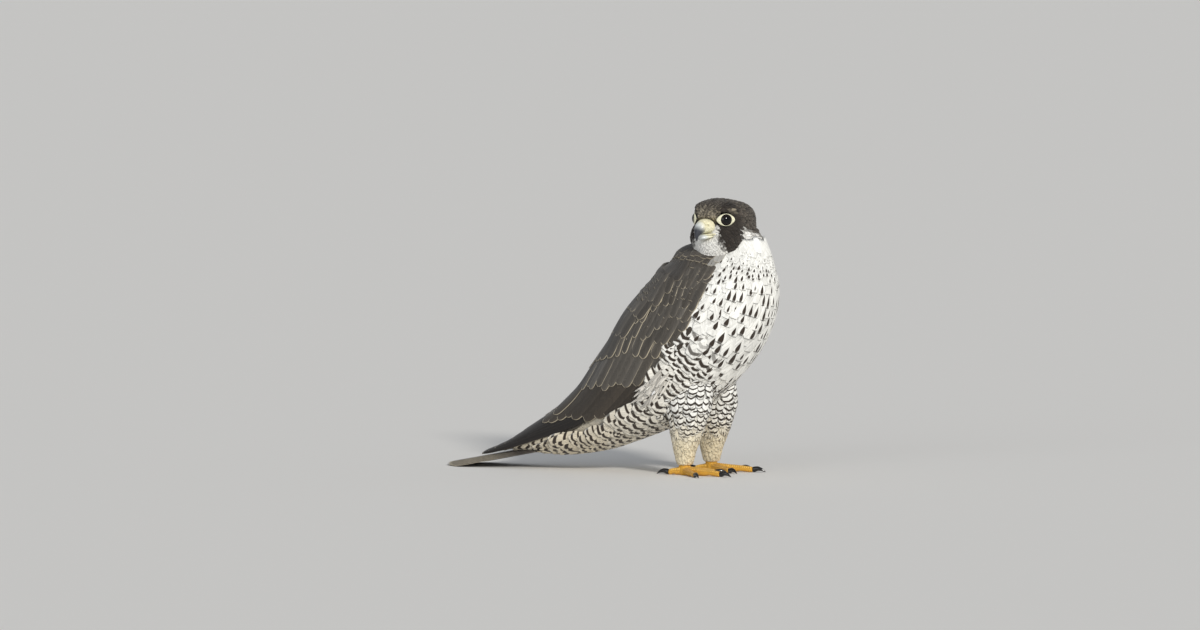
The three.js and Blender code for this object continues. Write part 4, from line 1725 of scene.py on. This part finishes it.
def loop_grid(around: int, along: int) -> tuple[BMesh, Array]:
    """A grid and its points' places from 0 to 1, to be bent into a tube or a ring.

    Args:
        around: Cells round the loop.
        along: Cells along it.

    Returns:
        The grid, and two shares for each of its points.
    """
    bm = bmesh.new()
    bmesh.ops.create_grid(bm, x_segments=around, y_segments=along, size=1)
    return bm, (np.array([v.co[:2] for v in bm.verts]) + 1) / 2


def bent(name: str, bm: BMesh, places: Array) -> Mesh:
    """A grid moved to its new places, welded and closed.

    Args:
        name: The mesh's name.
        bm: The grid; it is freed.
        places: The new places in metres.

    Returns:
        The mesh.
    """
    for v, place in zip(bm.verts, places.tolist()):
        v.co = place
    bmesh.ops.remove_doubles(bm, verts=bm.verts[:], dist=2e-6)
    bmesh.ops.holes_fill(bm, edges=[e for e in bm.edges if e.is_boundary], sides=0)
    bmesh.ops.recalc_face_normals(bm, faces=bm.faces[:])
    return freed(name, bm)


def freed(name: str, bm: BMesh) -> Mesh:
    """A bmesh as a mesh.

    Args:
        name: The mesh's name.
        bm: The bmesh; it is freed.

    Returns:
        The mesh.
    """
    mesh = bpy.data.meshes.new(name)
    bm.to_mesh(mesh)
    bm.free()
    return mesh


def tube(
    name: str, rows: Sequence[Sequence[float]], place: Callable[[Array], Array], around: int = 16
) -> Mesh:
    """A tube of oval sections along a smooth line.

    Args:
        name: The mesh's name.
        rows: x, y, z, half width and half height of each section, in millimetres.
        place: Turns points of the rows' frame into metres of the bird's.
        around: Cells round each section.

    Returns:
        The mesh.
    """
    rows = np.array(rows, float)
    bm, at = loop_grid(around, 6 * (len(rows) - 1))
    share = at[:, 1] * (len(rows) - 1)
    row, run = spline(rows, share)
    run = unit(run[:, :3])
    aside = unit(np.cross([0.0, 0.0, 1.0], run))
    up = np.cross(run, aside)
    angle = at[:, :1] * 2 * math.pi
    wide, high = np.maximum(row[:, 3:4], 0.05), np.maximum(row[:, 4:5], 0.05)
    return bent(name, bm, place(row[:, :3] + aside * wide * np.cos(angle) + up * high * np.sin(angle)))


@dataclass
class Eye:
    """An eye: a dark glossy ball, and the pale bare lids round it.

    Attributes:
        side: The side of the head that it is on.
        at: Its middle on the left side, in the head's frame.
        gaze: The way it looks there.
        radius: Of the ball.
        slit: Radius of the opening between the lids.
        almond: Half length and half height of the lids' outer edge.
        iris: From and to how far out from its middle the ball has the iris's colour.
        ball: The ball's finish.
        skin: The lids' finish.
    """

    side: Side
    at: tuple[float, float, float] = (12.3, 17.8, 0.3)
    gaze: tuple[float, float, float] = (0.52, 0.85, 0.03)
    radius: float = 8.0
    slit: float = 6.3
    almond: tuple[float, float] = (10.3, 6.7)
    iris: tuple[float, float] = (3.7, 5.9)
    ball: Bare = Bare(
        "eyeball", Hue.PUPIL, Hue.IRIS, rough=0.4, grain=40, relief=0.0, coat=0.7, gloss=0.0,
        painted=True,
    )
    skin: Bare = Bare("lids", Hue.RING, Hue.RING, rough=0.55, grain=700, relief=0.08)

    def __post_init__(self) -> None:
        """Puts the eye's middle and its three axes on its own side."""
        mirror = np.array((1, self.side.value, 1))
        self.middle = np.array(self.at) * mirror
        self.out = unit(np.array(self.gaze) * mirror)
        self.level = unit(np.cross((0.0, 0.0, 1.0), self.out))
        self.up = np.cross(self.out, self.level)

    def build(self, skin: Skin) -> None:
        """Builds ball and lids.

        Args:
            skin: The skin that the lids reach.
        """
        name = f"eyeball_{self.side.word}"
        bm = bmesh.new()
        bmesh.ops.create_uvsphere(bm, u_segments=48, v_segments=32, radius=self.radius)
        local = np.array([v.co for v in bm.verts])
        axes = np.array((self.level, self.up, self.out))
        for v, place in zip(bm.verts, HEAD.outward(local @ axes + self.middle)):
            v.co = place
        bmesh.ops.recalc_face_normals(bm, faces=bm.faces[:])
        mesh = freed(name, bm)
        away = np.hypot(local[:, 0], local[:, 1])
        low, high = self.iris
        ring = smooth(away, low, low + 0.4) * (1 - smooth(away, high - 0.7, high))
        tone = mix(Hue.PUPIL.rgb, Hue.IRIS.rgb, ring[:, None])
        paint(mesh, "tone", np.column_stack([tone, np.ones(len(away))]))
        show(name, mesh, self.ball.material(), "eye", f"eye_{self.side.word}")
        self.lids(skin.tree)

    def lids(self, ground: BVHTree) -> None:
        """Builds the ring of the two lids, from the ball out to the feathers.

        Args:
            ground: The skin's search tree.
        """
        bm, at = loop_grid(84, 14)
        turn, section = at[:, 0] * 2 * math.pi, at[:, 1] * 2 * math.pi
        share = (1 - np.cos(section)) / 2
        sin, cos = np.sin(turn), np.cos(turn)
        across = mix(self.slit * cos, self.almond[0] * cos, share)
        high = mix(self.slit * 0.97 * sin, self.almond[1] * sin * np.abs(sin) ** 0.3, share)
        flat = self.middle + across[:, None] * self.level + high[:, None] * self.up
        far = HEAD.outward(flat + 24 * self.out)
        way = Vector(self.out @ HEAD.matrix.T)
        hits = [ground.ray_cast(Vector(p), -way)[3] for p in far.tolist()]
        under = np.array([24 - (20 * MM if hit is None else hit) / MM for hit in hits])
        away = np.hypot(across, high)
        cone = np.sqrt(self.radius**2 - np.minimum(away, 6.6) ** 2) - 0.75 * np.maximum(away - 6.6, 0)
        depth = np.maximum(cone, np.minimum(under, cone + 2.2)) + 0.15
        depth += 0.5 * np.sin(section) + 0.12 * np.sin(3 * math.pi * share) * np.sin(section)
        name = f"lids_{self.side.word}"
        mesh = bent(name, bm, HEAD.outward(flat + depth[:, None] * self.out))
        show(name, mesh, self.skin.material(), "cere")


@dataclass(frozen=True)
class Bill:
    """Cere, bill, mouth corners and nostrils.

    Attributes:
        voxel: Distance between the points of its forms.
        nostril: Place of the left nostril, in the head's frame.
        rim: Radius of the nostril's rim, and of the rim's own section.
        cone: Radius of the small cone in the nostril.
        gape: Stations of the left mouth corner: place, half width and half height.
        cere: Finish of the bare skin.
        horn: Finish of the horn.
    """

    voxel: float = 0.4
    nostril: tuple[float, float, float] = (28.8, 7.6, -4.9)
    rim: tuple[float, float] = (1.5, 0.35)
    cone: float = 0.5
    gape: tuple[tuple[float, ...], ...] = (
        (19.5, 12.4, -16.0, 0.8, 0.8),
        (22.0, 12.0, -15.1, 0.9, 0.7),
        (25.0, 10.9, -14.9, 0.6, 0.55),
        (28.5, 9.3, -14.9, 0.4, 0.4),
        (31.0, 8.0, -15.0, 0.2, 0.2),
    )
    cere: Bare = Bare(
        "cere_skin", Hue.CERE, Hue.CERE, rough=0.45, grain=600, relief=0.06, painted=True
    )
    horn: Bare = Bare(
        "bill_horn", Hue.HORN, Hue.TIP, rough=0.38, grain=220, relief=0.02, coat=0.12, painted=True
    )

    def build(self) -> None:
        """Builds all the parts of the bill."""
        for node, finish, slot in (
            ("cere", self.cere, "cere"),
            ("bill_upper", self.horn, "horn"),
            ("bill_lower", self.horn, "horn"),
        ):
            mesh = refined(node, self.voxel, 5)
            places = HEAD.inward(rows_of(mesh.vertices, "co"))
            paint(mesh, "tone", self.tones(node, places))
            show(f"{node}_form", mesh, finish.material(), slot, node)
            if node == "cere":
                self.nostrils(search_tree(mesh))
        for side in Side:
            place = partial(HEAD.mirrored, side)
            self.dress(tube(f"gape_{side.word}", self.gape, place, 12), Hue.CERE)

    def dress(self, mesh: Mesh, hue: Hue) -> None:
        """Shows a mesh as bare skin of one colour, under its own name."""
        paint(mesh, "tone", np.tile(hue.rgba, (len(mesh.vertices), 1)))
        show(mesh.name, mesh, self.cere.material(), "cere")

    def tones(self, node: str, q: Array) -> Array:
        """Colours of the bill, with the nostrils' openings painted dark as painted shade.

        Args:
            node: Which part of it.
            q: Points of the head's frame.

        Returns:
            Four numbers for each point.
        """
        x, y, z = q.T
        if node == "cere":
            pit = np.array(self.nostril)
            away = np.linalg.norm(np.stack([x, np.abs(y), z], axis=1) - pit, axis=1)
            tone = mix(Hue.CERE.rgb, Hue.RING.rgb, smooth(-z, 4, 12)[:, None])
            # Painted shade: the nostril's opening on the cere is painted nearly black for the shade inside
            # the hole.
            tone = mix(tone, Hue.SOOT.rgb, (0.95 * (1 - smooth(away, 1.1, 1.6)))[:, None])
        elif node == "bill_upper":
            tone = mix(Hue.CERE.rgb, Hue.HORN.rgb, smooth(x, 30, 38)[:, None])
            dark = smooth(-z + 0.6 * (x - 36), 4, 13)
            tone = mix(tone, Hue.TIP.rgb, dark[:, None])
        else:
            tone = mix(Hue.RING.rgb, Hue.HORN.rgb, smooth(x, 24, 32)[:, None])
        return np.column_stack([tone, np.ones(len(q))])

    def nostrils(self, tree: BVHTree) -> None:
        """Builds the rim and the little cone of each nostril.

        Args:
            tree: The cere's search tree.
        """
        radius, thick = self.rim
        for side in Side:
            at, normal = nearest(tree, HEAD.mirrored(side, [self.nostril]))
            across = unit(np.cross((0.0, 0.0, 1.0), normal[0]))
            up = np.cross(normal[0], across)
            bm, share = loop_grid(32, 10)
            turn, section = share[:, :1] * 2 * math.pi, share[:, 1:] * 2 * math.pi
            ring = (radius + thick * np.cos(section)) * (np.cos(turn) * across + np.sin(turn) * up)
            places = at + MM * (ring + (0.3 * np.sin(section) + 0.15) * normal)
            self.dress(bent(f"nostril_{side.word}", bm, places), Hue.RING)
            bm = bmesh.new()
            bmesh.ops.create_icosphere(bm, subdivisions=3, radius=self.cone * MM)
            bmesh.ops.translate(bm, verts=bm.verts[:], vec=at[0] - 0.1 * MM * normal[0])
            self.dress(freed(f"nostril_cone_{side.word}", bm), Hue.RING)


def refined(node: str, voxel: float, rounds: int) -> Mesh:
    """A node's own form as an even, smoothed mesh.

    Args:
        node: The CAD node.
        voxel: Millimetres between the new points.
        rounds: How often the surface is smoothed.

    Returns:
        The new mesh.
    """
    bm = bmesh.new()
    bm.from_mesh(frame["nodes"][node].data)
    bmesh.ops.remove_doubles(bm, verts=bm.verts[:], dist=1e-6)
    return remeshed(f"{node}_form", bm, voxel, rounds)


@dataclass(frozen=True)
class Toe:
    """A toe: its name, degrees outward from the middle line, length and radius."""

    name: str
    turn: float
    length: float
    radius: float


@dataclass(frozen=True)
class Foot:
    """A foot: soft toes with plates along their tops, and four claws.

    Attributes:
        side: The side of the body that it is on.
        turn: Degrees that the whole foot is turned outward.
        toes: The toes.
        claw: Stations of the thickest toe's claw: run, height, half width and half height.
        claw_high: Height that the claw's own are measured by.
        thickest: Radius of the thickest toe.
        plate_step: Distance from plate to plate.
        plate_long: Length of a plate.
        skin: Finish of the soft skin.
        plate: Finish of the plates, with painted shade round their rims.
        horn: Finish of the claws.
        vane: The vane that the plates are copied from.
    """

    side: Side
    turn: float = 8
    toes: tuple[Toe, ...] = (
        Toe("inner", -38, 33, 4.3),
        Toe("middle", 2, 46, 4.4),
        Toe("outer", 40, 35, 4.0),
        Toe("hind", 172, 19, 4.4),
    )
    claw: tuple[tuple[float, ...], ...] = (
        (0.2, 3.0, 0.8, 1.0),
        (1.6, 3.1, 0.86, 1.08),
        (5.2, 4.0, 0.76, 0.92),
        (9.6, 3.2, 0.54, 0.64),
        (14.3, 0.6, 0.08, 0.1),
    )
    claw_high: float = 2.8
    thickest: float = 4.4
    plate_step: float = 2.3
    plate_long: float = 2.9
    skin: Bare = Bare("foot_skin", Hue.TOE, Hue.SCUTE, rough=0.5, relief=0.25, cells=620)
    # The plates' rims are painted a dark orange, painted shade in the creases between the plates.
    plate: Coat = Coat(
        "toe_plates", fringe=Hue.CREASE, rim=0.22, tip=0.2, barbs=2, quill=0.0, rough=0.45,
        relief=0.03,
    )
    horn: Bare = Bare("claw_horn", Hue.CLAW, Hue.CLAW, rough=0.22, grain=300, relief=0.02, coat=0.5)
    vane: Vane = Vane(across=6, along=4, root=0.9, shoulder=0.6, tip=0.55)

    def place(self, toe: Toe, points: Array) -> Array:
        """Points of a toe's own frame, in the bird's.

        Args:
            toe: The toe, which runs along +X of its frame.
            points: Millimetres in that frame.

        Returns:
            The points in metres.
        """
        points = np.asarray(points, float)
        angle = self.side.value * (math.radians(self.turn) + math.radians(toe.turn))
        cos, sin = math.cos(angle), math.sin(angle)
        x, y = FOOT_AT[self.side]
        ahead = x + points[:, 0] * cos - points[:, 1] * sin
        aside = y + points[:, 0] * sin + points[:, 1] * cos
        return MM * np.stack([ahead, aside, points[:, 2]], axis=-1)

    def build(self) -> None:
        """Builds the foot."""
        name = f"foot_{self.side.word}"
        mesh = refined(name, 0.7, 8)
        paint(mesh, "tone", np.zeros((len(mesh.vertices), 4)))
        tree = search_tree(mesh)
        show(f"{name}_form", mesh, self.skin.material(), "foot_skin", name)
        self.plates(tree)
        for toe in self.toes:
            size = self.claw_high * toe.radius / self.thickest
            rows = [
                (toe.length + run, 0, high * size / self.claw_high, wide * size, deep * size)
                for run, high, wide, deep in self.claw
            ]
            node = f"claw_{self.side.word}_{toe.name}"
            mesh = tube(f"{node}_form", rows, partial(self.place, toe))
            paint(mesh, "tone", np.zeros((len(mesh.vertices), 4)))
            show(mesh.name, mesh, self.horn.material(), "claw", node)

    def plates(self, tree: BVHTree) -> None:
        """Lays the horny plates over the toes, row after row.

        Args:
            tree: The foot's search tree.
        """
        roots, tips, halves = [], [], []
        for toe in self.toes:
            for run in np.arange(4.0, toe.length - 1, self.plate_step):
                for aside, half in ((0, 0.62), (-0.8, 0.36), (0.8, 0.36)):
                    high = 2 * toe.radius * (1 if aside == 0 else 0.8)
                    line = [(at, aside * toe.radius, high) for at in (run, run + self.plate_long)]
                    root, tip = self.place(toe, line)
                    roots.append(root)
                    tips.append(tip)
                    halves.append(half * toe.radius)
        n = len(roots)
        tone = np.tile(mix(Hue.TOE.rgb, Hue.SCUTE.rgb, 0.5), (n, 1))
        feathers = Feathers(
            root=nearest(tree, np.array(roots))[0],
            tip=nearest(tree, np.array(tips))[0],
            half=np.array(halves),
            # A fringe of 0.85 sets how strongly the painted crease shade shows at each plate's rim.
            marks=Marks.plain(Plumage(5).shade(tone, 0.06), 0.85),
            base=np.zeros(n),
            level=np.full(n, 0.28),
            camber=0.1,
            thick=0.3,
        )
        cut = self.vane.cut()
        unwrap = np.column_stack([np.linspace(0, 1, n), np.full(n, 0.5)])
        name = f"toe_plates_{self.side.word}"
        mesh = woven(name, feathers.over_skin(cut, tree), cut, feathers, unwrap)
        show(name, mesh, self.plate.material(), "foot_skin")


@dataclass(frozen=True)
class Studio:
    """A pale floor, soft light and the camera at the photograph's angle.

    Attributes:
        frame: Width and height of the picture in pixels.
        scale: Millimetres for each pixel.
        origin: The pixel at which the bird's zero stands.
        azimuth: Degrees that the camera is turned round the bird.
        elevation: Degrees that it looks down.
        lens: Its focal length.
        sensor: Width of its sensor.
        room: Colour of the light from all sides.
        glow: Its strength.
    """

    frame: tuple[int, int] = (1200, 630)
    scale: float = 1.08
    origin: tuple[float, float] = (721, 474)
    azimuth: float = 25
    elevation: float = 4
    lens: float = 400
    sensor: float = 36
    room: tuple[float, float, float, float] = (0.80, 0.84, 0.90, 1)
    glow: float = 0.42

    def build(self) -> None:
        """Sets up floor, room, light and camera."""
        self.floor()
        self.walls()
        self.lights()
        self.camera()

    def axes(self) -> tuple[Vector, Vector, Vector]:
        """The camera's right, its up, and the way from the bird to it.

        Returns:
            The three, each of length one.
        """
        a, e = math.radians(self.azimuth), math.radians(self.elevation)
        right = Vector((math.cos(a), math.sin(a), 0))
        back = Vector((math.sin(a) * math.cos(e), -math.cos(a) * math.cos(e), math.sin(e)))
        return right, back.cross(right), back

    def camera(self) -> None:
        """Makes the camera, with the bird's zero at its place in the picture."""
        right, up, back = self.axes()
        width, height = self.frame
        aim = Vector((TRUNK.ahead, 0, 0))
        aside, down = width / 2 - self.origin[0], height / 2 - self.origin[1]
        aim += right * aside * self.scale - up * down * self.scale
        data = bpy.data.cameras.new("camera")
        data.lens = self.lens
        data.sensor_width = self.sensor
        data.clip_end = 100
        away = width * self.scale * self.lens / self.sensor
        camera = bpy.data.objects.new("camera", data)
        turned = Matrix((right, up, back)).transposed().to_4x4()
        camera.matrix_world = Matrix.Translation((aim + back * away) * MM) @ turned
        bpy.context.scene.collection.objects.link(camera)
        bpy.context.scene.camera = camera

    def floor(self) -> None:
        """Makes the floor."""
        bm = bmesh.new()
        bmesh.ops.create_circle(bm, cap_ends=True, segments=64, radius=40)
        mesh = freed("floor", bm)
        floor = bpy.data.objects.new("floor", mesh)
        bpy.context.scene.collection.objects.link(floor)
        paper = bpy.data.materials.new("floor_paper")
        paper.use_nodes = True
        shader = paper.node_tree.nodes["Principled BSDF"]
        shader.inputs["Base Color"].default_value = Hue.FLOOR.rgba
        shader.inputs["Roughness"].default_value = 0.9
        mesh.materials.append(paper)

    def walls(self) -> None:
        """Makes the pale room round the bird."""
        world = bpy.data.worlds.new("room")
        world.use_nodes = True
        light = world.node_tree.nodes["Background"]
        light.inputs[0].default_value = self.room
        light.inputs[1].default_value = self.glow
        bpy.context.scene.world = world
        bpy.context.scene.view_settings.view_transform = "Standard"

    def lights(self) -> None:
        """Adds one broad warm light from the camera's right and a weak one from its left."""
        right, _, back = self.axes()
        rise = Vector((0, 0, 1))
        for name, way, power, colour, soft in (
            ("key", back * 0.8 + right * 0.4 + rise * 0.42, 2.2, (1, 0.97, 0.92), 9),
            ("fill", back * 0.8 - right * 0.55 + rise * 0.12, 0.55, (0.9, 0.94, 1), 40),
        ):
            data = bpy.data.lights.new(name, "SUN")
            data.energy = power
            data.color = colour
            data.angle = math.radians(soft)
            lamp = bpy.data.objects.new(name, data)
            lamp.rotation_mode = "QUATERNION"
            lamp.rotation_quaternion = way.to_track_quat("Z", "Y")
            bpy.context.scene.collection.objects.link(lamp)


def steady(value: float) -> Curve:
    """A curve that stays at one value."""
    return lambda _: value


@dataclass(frozen=True)
class BodyCoat:
    """The fields of feathers over neck, body and rump.

    Attributes:
        edge: Down the middle line, and degrees from the back's middle to the pale feathers there.
        pale: Finish of breast and belly.
        under: Finish of the feathers under the tail.
        tuft: Finish of the loose down on the flanks.
        dark: Finish of back and rump.
        long_vane: The vane of the long feathers under the tail.
        loose_vane: The vane of the down.
    """

    edge: tuple[tuple[float, float], ...] = (
        (0, 96),
        (46, 90),
        (90, 92),
        (130, 100),
        (150, 108),
        (190, 114),
        (240, 115),
        (275, 106),
        (330, 100),
    )
    pale: Coat = Coat(
        "breast_feathers", fringe=Hue.WHITE, rim=0.3, tip=0.08, barbs=12, quill=0.04, rough=0.75,
        relief=0.08,
    )
    under: Coat = Coat(
        "undertail_feathers", fringe=Hue.WHITE, rim=0.3, tip=0.08, barbs=14, quill=0.15, rough=0.7
    )
    tuft: Coat = Coat(
        "flank_down", fringe=Hue.WHITE, rim=0.4, tip=0.1, barbs=10, quill=0.05, rough=0.85
    )
    dark: Coat = Coat("mantle_feathers", rim=0.16, tip=0.06, barbs=18, rough=0.6)
    long_vane: Vane = Vane(across=6, along=10, barbs=11, hair=0.035)
    loose_vane: Vane = Vane(
        across=4, along=8, root=0.5, shoulder=0.3, tip=0.05, barbs=15, loose=0.2, hair=0.05
    )

    def low(self, distance: float) -> float:
        """Degrees from the back's middle to the pale feathers."""
        return float(np.interp(distance, *zip(*self.edge)))

    def size(self, distance: float) -> float:
        """Millimetres from one pale feather to the next."""
        return float(mix(4.6, 11.0, smooth(distance, 12, 84)) - 2.0 * smooth(distance, 200, 280))

    def ends(self, side: Side, near: Curve, far: Curve) -> tuple[Curve, Curve]:
        """The two edges of a field of one side, in rising order.

        Args:
            side: The side of the body.
            near: Degrees from the back's middle to the nearer edge.
            far: Degrees to the farther one.

        Returns:
            The lower and the higher edge, with their signs.
        """
        if side is Side.LEFT:
            return near, far
        return lambda d: -far(d), lambda d: -near(d)

    def light_fields(self, side: Side) -> list[Field]:
        """The pale fields of one side.

        Args:
            side: The side of the body.

        Returns:
            The fields, from the throat to the tail.
        """
        word, sign = side.word, side.value
        ends = self.ends(side, self.low, steady(180.0))
        downy = self.ends(side, steady(107.0), steady(116.0))
        return [
            Field(f"breast_{word}", 10, 108, *ends, self.size, self.pale, 50 + sign),
            Field(f"belly_{word}", 108, 210, *ends, self.size, self.pale, 60 + sign),
            Field(f"vent_{word}", 210, 276, *ends, self.size, self.under, 64 + sign),
            Field(
                f"undertail_{word}", 272, 330, *ends, steady(9.5), self.under, 70 + sign,
                vane=self.long_vane, long=4.2, sink=4.0,
            ),
            Field(
                f"flank_down_{word}", 152, 182, *downy, steady(2.8), self.tuft, 90 + sign,
                vane=self.loose_vane, long=7.0, wide=0.5, base=-0.3, level=1.6, thick=0.3,
                stray=1.0, sway=1.1, hue=Hue.DOWN,
            ),
        ]

    def dark_field(
        self, name: str, start: float, end: float, half: float, pitch: float, seed: int, **more: float
    ) -> Field:
        """A field over the middle of the back.

        Args:
            name: The piece's name.
            start: Where it starts, down the middle line.
            end: Where it ends.
            half: Degrees from its middle to its edges.
            pitch: Millimetres from feather to feather.
            seed: Of its random draws.
            more: Other sizes of the field.

        Returns:
            The field.
        """
        curves = (steady(-half), steady(half), steady(pitch))
        return Field(name, start, end, *curves, self.dark, seed, slot="wing_plumage", **more)

    def build(self) -> None:
        """Lays all the fields."""
        fields = [field for side in Side for field in self.light_fields(side)]
        fields += [
            self.dark_field("mantle", 12, 60, 92, 7, 80, level=0.4),
            self.dark_field("mantle_low", 58, 104, 42, 9, 82, level=1.3, base=-0.5),
            self.dark_field("back", 60, 300, 34, 9.5, 81, level=-1.8, base=-4.4),
            self.dark_field("rump", 268, 352, 84, 9, 83, level=-3.8, base=-6.2, long=3.2, sink=4.6),
        ]
        for field in fields:
            field.build()


def main() -> None:
    """Builds the bird and the studio in order."""
    skin = Skin()
    skin.build()
    BodyCoat().build()
    HeadCoat(skin).build()
    LegCoat().build(skin)
    for side in Side:
        Eye(side).build(skin)
        Wing(side).build()
        Foot(side).build()
    Bill().build()
    Tail().build()
    Studio().build()


if __name__ == "__main__":
    logging.basicConfig(level=logging.INFO, format="%(name)s %(message)s", stream=sys.stdout)
    main()
